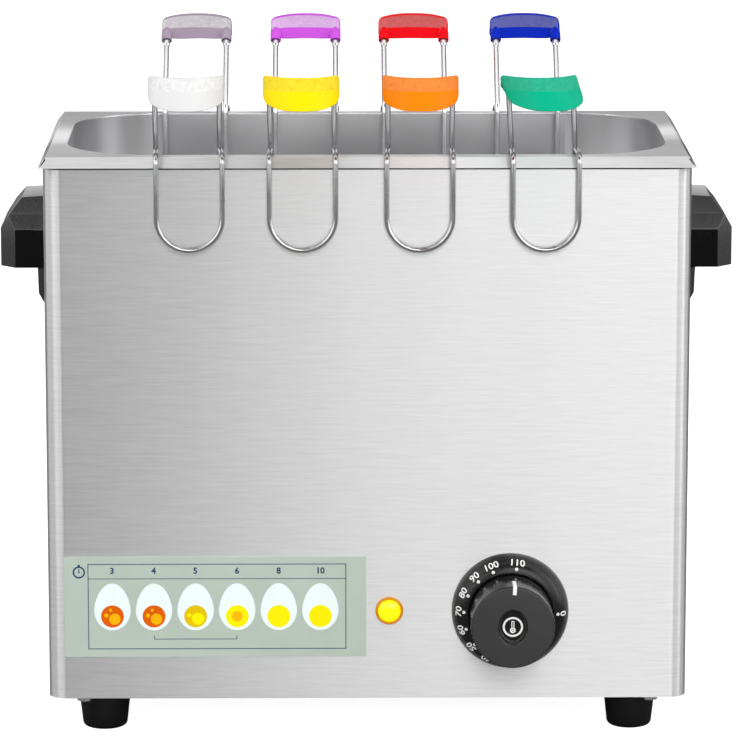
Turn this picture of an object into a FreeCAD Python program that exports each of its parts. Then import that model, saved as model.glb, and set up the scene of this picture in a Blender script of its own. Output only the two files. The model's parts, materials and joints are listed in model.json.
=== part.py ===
"""Commercial egg boiler: a stainless water bath with eight lift-out egg baskets.

Millimetres, +Z up, the front faces -Y. The origin is on the floor under the middle of the
housing. Every solid stands at its place, and each file in parts/ is one named piece.
"""

import math
import os

import FreeCAD, Part

Vector = FreeCAD.Vector
UP = Vector(0, 0, 1)
FORWARD = Vector(0, -1, 0)

# ---------------------------------------------------------------- driving dimensions
# housing
housing_width = 325.0
housing_depth = 172.0
housing_top = 293.6
housing_corner_radius = 9.0
sheet = 0.8
flange_width = 11.0

# rubber feet
foot_height = 20.5
foot_top_diameter = 27.0
foot_bottom_diameter = 22.5
foot_edge = 2.5
foot_inset_x = 27.5
foot_inset_y = 25.0
foot_recess = 10.0
foot_sides = 16

# rim channel around the tank
rim_height = 5.2
rim_slope = 4.0
rim_overhang = 2.0
rim_sheet = 1.0
rim_return = 9.0
rim_corner_slit = 1.2

# tank
tank_land = 8.0
tank_corner_radius = 45.0
tank_depth = 150.0
tank_bottom_edge = 9.0
tank_flange = 5.0

# baskets
wire = 2.8
wire_sides = 6
basket_pitch = 60.0
stem_spacing = 32.0
stem_to_tank_wall = 7.6
lean_start = 4.0
grip_reach = 34.0
grip_rise = 35.6
stem_in_grip = 5.0
egg_diameter = 45.0
egg_clearance = 1.2
cradle_top = 78.0
cradle_height = 54.0
cradle_bend = 13.0
ring_runs = 10
hook_rest_gap = 0.3
hook_stand_off = 2.0
hook_drop = 46.0
hook_weld_length = 9.0
hook_spread = 0.5
hook_bend = 4.0
hook_runs = 6
weld_gap = 0.02

# grips
grip_width = 37.4
grip_wall = 3.0
grip_ridge_rise = 6.4
grip_ridge_reach = 13.0
grip_bow = 13.0
grip_lip_reach = 9.0
grip_lip_drop = 11.5
grip_lip_crown = 4.5
grip_foot_drop = 2.4
grip_rounding = 0.6
socket_diameter = 5.6
socket_length = 8.0
socket_clearance = 0.05
socket_cap = 1.0

# control knob, its number ring and the thermostat
knob_x = 72.4
knob_height = 66.5
knob_stand_off = 37.0
knob_diameter = 42.0
knob_cap_edge = 1.2
badge_depth = 1.0
knob_wall = 2.2
badge_diameter = 22.0
badge_thickness = 0.8
badge_clearance = 0.1
badge_sides = 32
dial_diameter = 59.4
dial_height = 10.8
dial_brim = 0.8
dial_runs = 4
dial_floor = 1.6
dial_gap = 0.8
spindle_diameter = 6.0
spindle_flat = 1.4
spindle_in_knob = 14.0
spindle_clearance = 0.05
bush_diameter = 11.0
bush_sides = 16
thermostat_width = 46.0
thermostat_height = 36.0
thermostat_depth = 30.0
thermostat_screw_pitch = 28.0
thermostat_screw = 4.0
bulb_diameter = 6.0
bulb_length = 80.0
capillary = 1.8
capillary_drop = 24.0
capillary_rise = 12.0

# pilot lamp
lamp_x = 11.0
lamp_height = 66.4
lamp_diameter = 14.2
lamp_rim = 1.2
lamp_floor = 0.4
lamp_nut_width = 14.0
lamp_nut_height = 3.0
lens_diameter = 11.6
lens_crown = 2.6
lens_flat_diameter = 7.0
lens_clearance = 0.1
lamp_neck_diameter = 10.0
lamp_length = 26.0

# chart label
label_left = -153.9
label_right = -0.7
label_bottom = 42.4
label_top = 94.7
label_thickness = 0.3

# side handles
handle_length = 66.0
handle_reach = 25.2
handle_top = 269.3
handle_mouth_drop = 35.3
handle_foot_drop = 54.4
handle_foot_run = 5.0
handle_foot_edge = 3.6
handle_wall = 3.4
handle_base = 6.0
handle_hip = 15.5
handle_shoulder = 7.8
handle_crown_drop = 0.8
handle_crown_reach = 14.6
handle_brow_reach = 20.2
handle_hip_run = 15.0
handle_corner = 7.6
handle_screw_pitch = 40.0
handle_screw_drop = 40.8
handle_screw = 5.0
handle_screw_grip = 4.2
handle_screw_head = 8.5
handle_screw_head_height = 3.5
handle_screw_spare = 0.3

# heater under the tank
heater_diameter = 8.0
heater_sides = 6
heater_length = 230.0
heater_spread = 30.0
heater_loops = 2
heater_tail = 24.0
heater_bend_relief = 1.0
heater_bend_runs = 3
clamp_thickness = 1.5
clamp_width = 90.0
clamp_stud_pitch = 66.0
clamp_stud = 6.0
clamp_nut_height = 5.0
clamp_nut_width = 10.0

# base plate and its fixings
base_sheet = 1.0
fastener_sides = 8
base_clearance = 0.3
base_screw = 4.0
base_screw_head = 7.6
base_screw_rise = 2.2
base_screw_grip = 8.0
base_screw_inset = 18.0
foot_screw = 5.0
foot_screw_head = 9.0
foot_nut_height = 4.0
vent_length = 50.0
vent_width = 4.0
vent_pitch = 12.0
vent_count = 5
vent_centre = 54.0

# wiring side of the base
terminal_length = 52.0
terminal_depth = 20.0
terminal_rise = 18.0
terminal_ways = 4
terminal_groove = 2.0
terminal_groove_depth = 6.0
terminal_inset = 40.0
cutout_diameter = 16.0
cutout_height = 9.0
cutout_ear = 24.0
earth_stud = 5.0
earth_stud_length = 16.0
earth_nut_width = 8.0
earth_nut_height = 4.0

# cable gland at the rear
gland_inset = 52.5
gland_height = 52.0
gland_hole = 20.0
gland_hex = 24.0
gland_sides = 16
gland_length = 32.0
gland_bore = 9.0
gland_nut = 5.0
gland_nut_width = 26.0
gland_dome = 14.4
gland_dome_length = 12.0
gland_collar = 8.0
gland_thread_spare = 1.0
fit_gap = 0.1

# ---------------------------------------------------------------- derived places
front = -housing_depth / 2
rear = housing_depth / 2
base_bottom = foot_height
base_top = base_bottom + base_sheet
rim_bottom = housing_top
rim_top = rim_bottom + rim_height
rim_outer_x = housing_width / 2 + rim_overhang
rim_outer_y = housing_depth / 2 + rim_overhang
plate_x = rim_outer_x - rim_slope
plate_y = rim_outer_y - rim_slope
tank_x = plate_x - tank_land
tank_y = plate_y - tank_land
tank_floor = rim_top - tank_depth
stem_y = tank_y - stem_to_tank_wall
seam_y = housing_depth / 2 - flange_width
handle_mouth = handle_top - handle_mouth_drop
handle_foot = handle_top - handle_foot_drop
handle_screw_height = handle_top - handle_screw_drop
gland_x = housing_width / 2 - gland_inset
knob_centre = Vector(knob_x, front, knob_height)
lamp_centre = Vector(lamp_x, front, lamp_height)
gland_centre = Vector(gland_x, rear, gland_height)
thermostat_front = front + sheet
heater_level = tank_floor - sheet - weld_gap - heater_diameter / 2
ring_radius = egg_diameter / 2 + egg_clearance + wire / 2
ring_corner_radius = ring_radius / math.cos(math.pi / ring_runs)
stem_ring_distance = ring_corner_radius + wire + weld_gap
ring_centre_y = math.sqrt(stem_ring_distance**2 - (stem_spacing / 2) ** 2)
cradle_floor = -cradle_top - cradle_height
grip_seat = Vector(0, -grip_reach, lean_start + grip_rise)
lean = Vector(0, -grip_reach, grip_rise)

CORNERS = ((-1, -1), (1, -1), (1, 1), (-1, 1))
GRIP_STATIONS = (-0.5, -0.37, -0.13, 0.13, 0.37, 0.5)

# column in pitches from the middle, row, how far it hangs off its column, and its turn in degrees
BASKETS = {
    "white": (-1.5, "front", -0.1, 3.0),
    "yellow": (-0.5, "front", -2.5, 0.0),
    "orange": (0.5, "front", -3.6, -1.0),
    "green": (1.5, "front", -1.7, 1.5),
    "grey": (-1.5, "rear", -0.1, 0.0),
    "purple": (-0.5, "rear", -1.6, 0.0),
    "red": (0.5, "rear", -3.6, 0.0),
    "blue": (1.5, "rear", -3.5, 0.0),
}


# ---------------------------------------------------------------- helpers
def box(low, high):
    """Box between two corners."""
    low, high = Vector(*low), Vector(*high)
    size = high - low
    return Part.makeBox(size.x, size.y, size.z, low)


def centred_slab(width, depth, bottom, top, corner=0.0):
    """Upright slab centred on the Z axis, its four vertical edges rounded."""
    slab = box((-width / 2, -depth / 2, bottom), (width / 2, depth / 2, top))
    if corner <= 0:
        return slab
    upright = [e for e in slab.Edges if abs(e.tangentAt(e.FirstParameter).z) > 0.9]
    return slab.makeFillet(corner, upright)


def rod(diameter, base, direction, length):
    """Cylinder that starts at a point and runs along a direction."""
    return Part.makeCylinder(diameter / 2, length, base, direction)


def pin(diameter, base, direction, length, sides=fastener_sides):
    """Small shank or head with few faces, its corners on the true diameter."""
    outline = regular_outline(base, direction, diameter / 2, sides)
    return Part.Face(outline).extrude(Vector(direction).normalize() * length)


def prism(width, base, direction, length, sides=6):
    """Regular prism, as wide as given across its flats."""
    corner_radius = width / 2 / math.cos(math.pi / sides)
    outline = regular_outline(base, direction, corner_radius, sides)
    return Part.Face(outline).extrude(Vector(direction).normalize() * length)


def turned(profile, centre, axis):
    """Solid of revolution about an axis, from pairs of radius and stand-off along it."""
    points = [centre + Vector(1, 0, 0) * radius + axis * out for radius, out in profile]
    face = Part.Face(Part.makePolygon(points + points[:1]))
    return face.revolve(centre, axis, 360)


def regular_outline(centre, normal, corner_radius, sides):
    """Closed regular polygon around a point, square to a direction."""
    turn = FreeCAD.Rotation(UP, Vector(normal))
    corners = []
    for i in range(sides + 1):
        angle = 2 * math.pi * i / sides
        spoke = Vector(math.cos(angle), math.sin(angle), 0) * corner_radius
        corners.append(centre + turn.multVec(spoke))
    return Part.makePolygon(corners)


def bent_wire(points, diameter, sides):
    """Wire of straight runs that meet in mitres, with a regular section."""
    path = Part.makePolygon(points)
    section = regular_outline(points[0], points[1] - points[0], diameter / 2, sides)
    return path.makePipeShell([section], True, False, 1)


def rounded_corner(before, corner, after, radius, runs):
    """Points of an arc that replaces a corner between two straight runs."""
    back = (before - corner).normalize()
    ahead = (after - corner).normalize()
    half = back.getAngle(ahead) / 2
    reach = radius / math.tan(half)
    start = corner + back * reach
    centre = corner + (back + ahead).normalize() * (radius / math.sin(half))
    axis = (start - centre).cross(corner + ahead * reach - centre)
    swing = math.degrees(math.pi - 2 * half)
    points = []
    for i in range(runs + 1):
        turn = FreeCAD.Rotation(axis, swing * i / runs)
        points.append(centre + turn.multVec(start - centre))
    return points


def rounded_path(corners, radius, runs):
    """Path through corners, each inner one rounded."""
    path = [corners[0]]
    for before, corner, after in zip(corners, corners[1:], corners[2:]):
        path += rounded_corner(before, corner, after, radius, runs)
    return path + [corners[-1]]


def mirrored(points):
    """The same points on the other side of the YZ plane, in reverse order."""
    return [Vector(-p.x, p.y, p.z) for p in reversed(points)]


def faceted_loft(sections):
    """Closed skin of flat facets through outlines that have the same number of corners."""
    ends = (sections[0], sections[-1])
    facets = [Part.Face(Part.makePolygon(end + end[:1])) for end in ends]
    for near, far in zip(sections, sections[1:]):
        for i in range(len(near)):
            j = (i + 1) % len(near)
            for triangle in ((near[i], near[j], far[j]), (near[i], far[j], far[i])):
                facets.append(Part.Face(Part.makePolygon(list(triangle) + [triangle[0]])))
    skin = Part.makeShell(facets)
    skin.sewShape()
    solid = Part.Solid(skin)
    return solid if solid.Volume > 0 else solid.reversed()


def flat_sided_turning(profile, centre, axis, sides):
    """Solid like turned(), with flat sides, for small pieces that are seldom seen."""
    turn = FreeCAD.Rotation(UP, axis)
    rings = []
    for radius, out in profile:
        spokes = [2 * math.pi * i / sides for i in range(sides)]
        flat = [Vector(math.cos(a) * radius, math.sin(a) * radius, out) for a in spokes]
        rings.append([centre + turn.multVec(point) for point in flat])
    facets = []
    for k, near in enumerate(rings):
        far = rings[(k + 1) % len(rings)]
        for i in range(sides):
            j = (i + 1) % sides
            loop = []
            for point in (near[i], near[j], far[j], far[i]):
                if all(point.distanceToPoint(other) > 1e-6 for other in loop):
                    loop.append(point)
            if len(loop) > 2:
                facets.append(Part.Face(Part.makePolygon(loop + loop[:1])))
    skin = Part.makeShell(facets)
    skin.sewShape()
    solid = Part.Solid(skin)
    solid = solid if solid.Volume > 0 else solid.reversed()
    return solid.removeSplitter()


def extrude_outline(corners, run):
    """Prism from a closed flat outline and a run."""
    return Part.Face(Part.makePolygon(corners + corners[:1])).extrude(run)


def save(node, *solids):
    """Writes one named piece, or a group of like fasteners."""
    shape = solids[0] if len(solids) == 1 else Part.makeCompound(list(solids))
    shape.exportStep(f"parts/{node}.step")


# ---------------------------------------------------------------- housing
def handle_screw_places():
    """Where the screws of both side handles pass the housing walls, and which way they point."""
    for side in (-1, 1):
        for y in (-handle_screw_pitch / 2, handle_screw_pitch / 2):
            yield side, Vector(side * housing_width / 2, y, handle_screw_height)


def housing_shell():
    """Sheet box, open below and above, with turned-in flanges at both ends."""
    inner_corner = housing_corner_radius - sheet
    shell = centred_slab(
        housing_width, housing_depth, base_bottom, housing_top, housing_corner_radius
    )
    inner_width = housing_width - 2 * sheet
    inner_depth = housing_depth - 2 * sheet
    hollow = centred_slab(
        inner_width, inner_depth, base_top + sheet, housing_top - sheet, inner_corner
    )
    base_seat = centred_slab(inner_width, inner_depth, base_bottom, base_top, inner_corner)
    base_mouth = centred_slab(
        housing_width - 2 * flange_width,
        housing_depth - 2 * flange_width,
        base_top,
        base_top + sheet,
    )
    tank_gap = sheet + base_clearance
    tank_mouth = centred_slab(
        2 * (tank_x + tank_gap),
        2 * (tank_y + tank_gap),
        housing_top - sheet,
        housing_top,
        tank_corner_radius + tank_gap,
    )
    shell = shell.cut([hollow, base_seat, base_mouth, tank_mouth])
    through = 2 * sheet
    behind_panel = Vector(0, through, 0)
    holes = [
        pin(
            bush_diameter + 2 * fit_gap, knob_centre + behind_panel, FORWARD, 2 * through, bush_sides
        ),
        rod(lamp_neck_diameter + 2 * fit_gap, lamp_centre + behind_panel, FORWARD, 2 * through),
        pin(
            gland_hole + 2 * fit_gap, gland_centre + behind_panel, FORWARD, 2 * through, gland_sides
        ),
    ]
    for x in (-thermostat_screw_pitch / 2, thermostat_screw_pitch / 2):
        start = knob_centre + behind_panel + Vector(x, 0, 0)
        holes.append(pin(thermostat_screw + 2 * fit_gap, start, FORWARD, 2 * through))
    for side, place in handle_screw_places():
        outward = Vector(side, 0, 0)
        holes.append(
            pin(handle_screw + 2 * fit_gap, place - outward * through, outward, 2 * through)
        )
    for place in base_screw_places():
        holes.append(pin(base_screw + 2 * fit_gap, place, UP, base_screw_grip))
    return shell.cut(holes)


def housing_panels():
    """The four folded panels of the box, butt-welded beside its rounded corners."""
    shell = housing_shell()
    half = housing_width / 2
    spans = {
        "housing_front": ((-half, front), (half, -seam_y)),
        "housing_rear": ((-half, seam_y), (half, rear)),
        "housing_left": ((-half, -seam_y), (0, seam_y)),
        "housing_right": ((0, -seam_y), (half, seam_y)),
    }
    for node, (low, high) in spans.items():
        yield node, shell.common(box((*low, base_bottom), (*high, housing_top))).Solids[0]


def base_screw_places():
    """Four screws near the corners, in the middle of the lower flange."""
    x = housing_width / 2 - base_screw_inset
    y = housing_depth / 2 - flange_width / 2 - sheet / 2
    return [Vector(i * x, j * y, base_bottom) for i, j in CORNERS]


def foot_places():
    """The middle of each foot on the underside of the base plate."""
    x = housing_width / 2 - foot_inset_x
    y = housing_depth / 2 - foot_inset_y
    return [Vector(i * x, j * y, base_bottom) for i in (-1, 1) for j in (-1, 1)]


def base_plate():
    """Flat plate inside the housing's lower edge, with two groups of vent slots."""
    trim = 2 * (sheet + base_clearance)
    plate = centred_slab(
        housing_width - trim,
        housing_depth - trim,
        base_bottom,
        base_top,
        housing_corner_radius - sheet - base_clearance,
    )
    cuts = []
    for place in base_screw_places():
        cuts.append(pin(base_screw + 2 * fit_gap, place, UP, base_screw_grip))
    for place in foot_places():
        cuts.append(pin(foot_screw + 2 * fit_gap, place, UP, base_screw_grip))
    for side in (-1, 1):
        for i in range(vent_count):
            y = (i - (vent_count - 1) / 2) * vent_pitch
            x = side * vent_centre
            low = (x - vent_length / 2, y - vent_width / 2, base_bottom)
            high = (x + vent_length / 2, y + vent_width / 2, base_top)
            cuts.append(box(low, high))
    return plate.cut(cuts)


def base_screws():
    """Pan-head screws that hold the base plate to the housing's lower flange."""
    screws = []
    for place in base_screw_places():
        head = pin(base_screw_head, place, -UP, base_screw_rise)
        screws.append(head.fuse(pin(base_screw, place, UP, base_screw_grip)))
    return screws


def rubber_feet():
    """Tapered feet with a broken lower edge and a recess for the screw head."""
    waist = foot_bottom_diameter / 2
    profile = [
        (0, 0),
        (foot_top_diameter / 2, 0),
        (waist, -foot_height + foot_edge),
        (waist - foot_edge / 2, -foot_height),
        (0, -foot_height),
    ]
    feet = []
    for place in foot_places():
        bore = pin(foot_screw + 2 * fit_gap, place, -UP, foot_height)
        seat = place - UP * (foot_height - foot_recess)
        recess = pin(foot_screw_head + 2 * fit_gap, seat, -UP, foot_recess)
        feet.append(flat_sided_turning(profile, place, UP, foot_sides).cut([bore, recess]))
    return feet


def foot_screws():
    """Screws up through the feet, each with a nut on the base plate."""
    screws = []
    for place in foot_places():
        seat = place - UP * (foot_height - foot_recess)
        shank = pin(foot_screw, seat, UP, place.z - seat.z + base_sheet + foot_nut_height)
        head = pin(foot_screw_head, seat, -UP, foot_nut_height)
        nut = prism(foot_screw_head, place + UP * base_sheet, UP, foot_nut_height)
        screws.append(head.fuse([shank, nut]))
    return screws


# ---------------------------------------------------------------- rim and tank
def frustum(half_x, half_y, bottom, top, slope):
    """Block with four sloping sides that narrow towards the top."""
    lower = [Vector(i * half_x, j * half_y, bottom) for i, j in CORNERS]
    upper = [
        Vector(i * (half_x - slope), j * (half_y - slope), top) for i, j in CORNERS
    ]
    loops = [Part.makePolygon(loop + loop[:1]) for loop in (lower, upper)]
    return Part.makeLoft(loops, True, True)


def rim_frame():
    """Folded channel: a flat land round the tank, a sloping skirt and a return below it."""
    outside = frustum(rim_outer_x, rim_outer_y, rim_bottom, rim_top, rim_slope)
    lower_slope = rim_slope * (rim_height - 2 * rim_sheet) / rim_height
    skirt_wall = rim_sheet * math.hypot(1, rim_slope / rim_height)
    inside = frustum(
        rim_outer_x - skirt_wall - rim_slope * rim_sheet / rim_height,
        rim_outer_y - skirt_wall - rim_slope * rim_sheet / rim_height,
        rim_bottom + rim_sheet,
        rim_top - rim_sheet,
        lower_slope,
    )
    mouth = centred_slab(
        2 * tank_x, 2 * tank_y, rim_bottom + rim_sheet, rim_top, tank_corner_radius
    )
    throat = centred_slab(
        2 * (rim_outer_x - rim_return), 2 * (rim_outer_y - rim_return),
        rim_bottom, rim_bottom + rim_sheet,
    )
    slits = []
    for i, j in CORNERS:
        slit = box(
            (-rim_slope - rim_overhang, -rim_corner_slit / 2, rim_bottom + rim_sheet),
            (rim_slope, rim_corner_slit / 2, rim_top - rim_sheet),
        )
        slit.rotate(Vector(), UP, math.degrees(math.atan2(j, i)))
        slit.translate(Vector(i * (rim_outer_x - rim_slope / 2), j * (rim_outer_y - rim_slope / 2), 0))
        slits.append(slit)
    return outside.cut([inside, mouth, throat] + slits)


def tank():
    """Deep-drawn pan with a broken bottom edge and a flange under the rim's land."""
    ceiling = rim_top - rim_sheet

    def pan(grow, floor, edge):
        body = centred_slab(
            2 * (tank_x + grow), 2 * (tank_y + grow), floor, ceiling, tank_corner_radius + grow
        )
        low_edges = [e for e in body.Edges if e.BoundBox.ZMax < floor + 1e-3]
        return body.makeChamfer(edge, low_edges)

    outer = pan(sheet, tank_floor - sheet, tank_bottom_edge)
    inner = pan(0.0, tank_floor, tank_bottom_edge)
    flange_x = tank_x + tank_flange
    flange_y = tank_y + tank_flange
    flange = centred_slab(
        2 * flange_x, 2 * flange_y, ceiling - sheet, ceiling, tank_corner_radius + tank_flange
    )
    return outer.fuse(flange).cut(inner)


# ---------------------------------------------------------------- heater under the tank
def heater_path():
    """Serpentine under the tank's floor, with both tails turned down."""
    x = heater_length / 2
    corners = []
    lanes = heater_loops * 2
    for lane in range(lanes):
        y = (lane - (lanes - 1) / 2) * heater_spread
        ends = (-x, x) if lane % 2 == 0 else (x, -x)
        corners += [Vector(end, y, heater_level) for end in ends]
    tail_in = corners[0] - UP * heater_tail
    tail_out = corners[-1] - UP * heater_tail
    return [tail_in] + corners + [tail_out]


def heating_element():
    """Tubular heater laid against the tank's floor."""
    path = rounded_path(heater_path(), heater_spread / 2 - heater_bend_relief, heater_bend_runs)
    return bent_wire(path, heater_diameter, heater_sides)


def clamp_places():
    """The welded studs that pull the heater up against the tank."""
    return [Vector(x, 0, tank_floor - sheet) for x in (-clamp_stud_pitch, clamp_stud_pitch)]


def heater_clamp():
    """Plate under the heater, held by two studs."""
    top = heater_level - heater_diameter / 2 - weld_gap
    length = heater_length - 2 * heater_spread
    plate = centred_slab(length, clamp_width, top - clamp_thickness, top)
    return plate.cut(
        [pin(clamp_stud + 2 * fit_gap, p, -UP, heater_tail * 2) for p in clamp_places()]
    )


def clamp_studs():
    """Studs with their nuts."""
    top = heater_level - heater_diameter / 2 - weld_gap - clamp_thickness
    studs = []
    for place in clamp_places():
        seat = Vector(place.x, place.y, top)
        length = place.z - top + clamp_nut_height + fit_gap
        nut = prism(clamp_nut_width, seat, -UP, clamp_nut_height)
        studs.append(nut.fuse(pin(clamp_stud, place, -UP, length)))
    return studs


def safety_cutout():
    """Disc thermostat on a mounting ear, against the tank's floor beside the heater."""
    ear_top = tank_floor - sheet
    centre = Vector(tank_x - cutout_ear, 0, ear_top)
    ear = box(
        (centre.x - cutout_ear / 2, -cutout_diameter / 2, ear_top - sheet),
        (centre.x + cutout_ear / 2, cutout_diameter / 2, ear_top),
    )
    return ear.fuse(pin(cutout_diameter, centre, -UP, cutout_height, bush_sides))


# ---------------------------------------------------------------- thermostat and knob
def thermostat_body():
    """Box behind the front wall with a threaded bush and two fixing screws through the wall."""
    centre = knob_centre
    body = box(
        (centre.x - thermostat_width / 2, thermostat_front, centre.z - thermostat_height / 2),
        (
            centre.x + thermostat_width / 2,
            thermostat_front + thermostat_depth,
            centre.z + thermostat_height / 2,
        ),
    )
    start = Vector(centre.x, thermostat_front, centre.z)
    bush = pin(bush_diameter, start, FORWARD, sheet + dial_floor + dial_gap / 2, bush_sides)
    screws = []
    for x in (-thermostat_screw_pitch / 2, thermostat_screw_pitch / 2):
        screws.append(
            pin(thermostat_screw, start + Vector(x, 0, 0), FORWARD, sheet + dial_floor)
        )
    bore = rod(
        spindle_diameter + 2 * spindle_clearance,
        start - FORWARD * (thermostat_depth / 2),
        FORWARD,
        thermostat_depth,
    )
    return body.fuse([bush] + screws).cut(bore)


def spindle_tip():
    """How far the spindle stands off the front wall."""
    return knob_stand_off - badge_depth - badge_thickness - knob_wall


def spindle_flat_block(tip, clearance):
    """What is missing from a round spindle to leave its flat."""
    depth = front - tip
    flat = knob_height + spindle_diameter / 2 - spindle_flat + clearance
    return box(
        (knob_x - spindle_diameter, depth, flat),
        (knob_x + spindle_diameter, depth + spindle_in_knob, knob_height + spindle_diameter),
    )


def thermostat_spindle():
    """Round shaft with a flat at the knob's end."""
    start = Vector(knob_x, thermostat_front + thermostat_depth / 2 - dial_gap, knob_height)
    tip = spindle_tip()
    shaft = rod(spindle_diameter, start, FORWARD, start.y - front + tip)
    return shaft.cut(spindle_flat_block(tip, 0.0))


def dial_ring():
    """Fixed number ring: a domed collar round the knob, with a thin floor behind it."""
    bore = knob_diameter / 2 + dial_gap
    swell = dial_diameter / 2 - bore
    rise = dial_height - dial_brim
    dome = []
    for i in range(dial_runs + 1):
        angle = math.pi / 2 * i / dial_runs
        dome.append((bore + swell * math.cos(angle), dial_brim + rise * math.sin(angle)))
    ring = turned(
        [(0, 0), (dial_diameter / 2, 0)] + dome + [(bore, dial_floor), (0, dial_floor)],
        knob_centre,
        FORWARD,
    )
    holes = [pin(bush_diameter + 2 * fit_gap, knob_centre, FORWARD, dial_floor, bush_sides)]
    for x in (-thermostat_screw_pitch / 2, thermostat_screw_pitch / 2):
        place = knob_centre + Vector(x, 0, 0)
        holes.append(pin(thermostat_screw + 2 * fit_gap, place, FORWARD, dial_floor))
    return ring.cut(holes)


def control_knob():
    """Barrel with a recess in its cap and a blind bore for the flatted spindle."""
    back = dial_floor + dial_gap
    badge_radius = badge_diameter / 2 + badge_clearance
    recess = knob_stand_off - badge_depth - badge_thickness
    knob = turned(
        [
            (0, back),
            (knob_diameter / 2, back),
            (knob_diameter / 2, knob_stand_off - knob_cap_edge),
            (knob_diameter / 2 - knob_cap_edge, knob_stand_off),
            (badge_radius, knob_stand_off),
            (badge_radius, recess),
            (0, recess),
        ],
        knob_centre,
        FORWARD,
    )
    tip = spindle_tip() + spindle_clearance
    bore = rod(spindle_diameter + 2 * spindle_clearance, knob_centre, FORWARD, tip)
    key = spindle_flat_block(tip, spindle_clearance)
    return knob.cut(bore.cut(key))


def knob_badge():
    """Round insert in the middle of the cap."""
    start = knob_centre + FORWARD * (knob_stand_off - badge_depth - badge_thickness)
    return pin(badge_diameter, start, FORWARD, badge_thickness, badge_sides)


def thermostat_bulb():
    """Sensing bulb clipped under the tank, and the capillary that feeds it."""
    level = tank_floor - sheet - weld_gap - bulb_diameter / 2
    y = tank_y - tank_bottom_edge - bulb_diameter
    bulb = pin(bulb_diameter, Vector(-bulb_length / 2, -y, level), Vector(1, 0, 0), bulb_length)
    exit_point = Vector(bulb_length / 2, -y, level)
    body_top = Vector(knob_x, thermostat_front + thermostat_depth / 2, knob_height + thermostat_height / 2)
    corners = [
        exit_point,
        Vector(body_top.x, -y, level),
        Vector(body_top.x, -y, level - capillary_drop),
        Vector(body_top.x, body_top.y, body_top.z + capillary_rise),
        body_top,
    ]
    return bulb, bent_wire(corners, capillary, wire_sides)


# ---------------------------------------------------------------- lamp, label, gland
def lamp_body():
    """Rim in front of the wall and a neck through it to the terminals behind."""
    seat = lens_diameter / 2 + lens_clearance
    return turned(
        [
            (0, lamp_floor),
            (seat, lamp_floor),
            (seat, lamp_rim),
            (lamp_diameter / 2, lamp_rim),
            (lamp_diameter / 2, 0),
            (lamp_neck_diameter / 2, 0),
            (lamp_neck_diameter / 2, -lamp_length),
            (0, -lamp_length),
        ],
        lamp_centre,
        FORWARD,
    )


def lamp_nut():
    """Hexagon nut that holds the lamp from behind the wall."""
    seat = lamp_centre - FORWARD * sheet
    nut = prism(lamp_nut_width, seat, -FORWARD, lamp_nut_height)
    hole = 2 * fit_gap + lamp_neck_diameter / math.cos(math.pi / bush_sides)
    return nut.cut(pin(hole, seat, -FORWARD, lamp_nut_height, bush_sides))


def lamp_lens():
    """Low dome seated in the rim."""
    radius = lens_diameter / 2
    return turned(
        [
            (0, lamp_floor),
            (radius, lamp_floor),
            (radius, lamp_rim),
            (lens_flat_diameter / 2, lamp_floor + lens_crown),
            (0, lamp_floor + lens_crown),
        ],
        lamp_centre,
        FORWARD,
    )


def chart_label():
    """Thin plate on the front wall that carries the cooking chart."""
    return box(
        (label_left, front - label_thickness, label_bottom), (label_right, front, label_top)
    )


def cable_gland():
    """Threaded body through the rear wall, with a hexagon and a dome nut behind it."""
    backward = -FORWARD
    hexagon = prism(gland_hex, gland_centre, backward, gland_collar)
    outer = gland_hex / 2
    thread = gland_hole / 2
    inner_end = -sheet - gland_nut - gland_thread_spare
    body = flat_sided_turning(
        [
            (0, inner_end),
            (thread, inner_end),
            (thread, gland_collar),
            (outer, gland_collar),
            (outer, gland_length - gland_dome_length),
            (gland_dome / 2, gland_length),
            (0, gland_length),
        ],
        gland_centre,
        backward,
        gland_sides,
    )
    start = gland_centre + backward * inner_end
    return body.fuse(hexagon).cut(rod(gland_bore, start, backward, gland_length - inner_end))


def gland_locknut():
    """Hexagon nut on the gland's thread, inside the rear wall."""
    seat = gland_centre + FORWARD * sheet
    nut = prism(gland_nut_width, seat, FORWARD, gland_nut)
    return nut.cut(pin(gland_hole + 2 * fit_gap, seat, FORWARD, gland_nut, gland_sides))


def terminal_block():
    """Supply terminals on the base plate, with a groove between the ways."""
    centre = Vector(gland_x - terminal_length, rear - terminal_inset, base_top)
    low = centre - Vector(terminal_length / 2, terminal_depth / 2, 0)
    high = centre + Vector(terminal_length / 2, terminal_depth / 2, terminal_rise)
    block = box(tuple(low), tuple(high))
    way = terminal_length / terminal_ways
    grooves = []
    for i in range(1, terminal_ways):
        left = low.x + i * way - terminal_groove / 2
        grooves.append(
            box(
                (left, low.y, high.z - terminal_groove_depth),
                (left + terminal_groove, high.y, high.z),
            )
        )
    return block.cut(grooves)


def earth_terminal():
    """Earth stud with its nut on the base plate."""
    place = Vector(gland_x + gland_hex / 2, rear - terminal_inset, base_top)
    nut = prism(earth_nut_width, place, UP, earth_nut_height)
    return nut.fuse(pin(earth_stud, place, UP, earth_stud_length))


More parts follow.
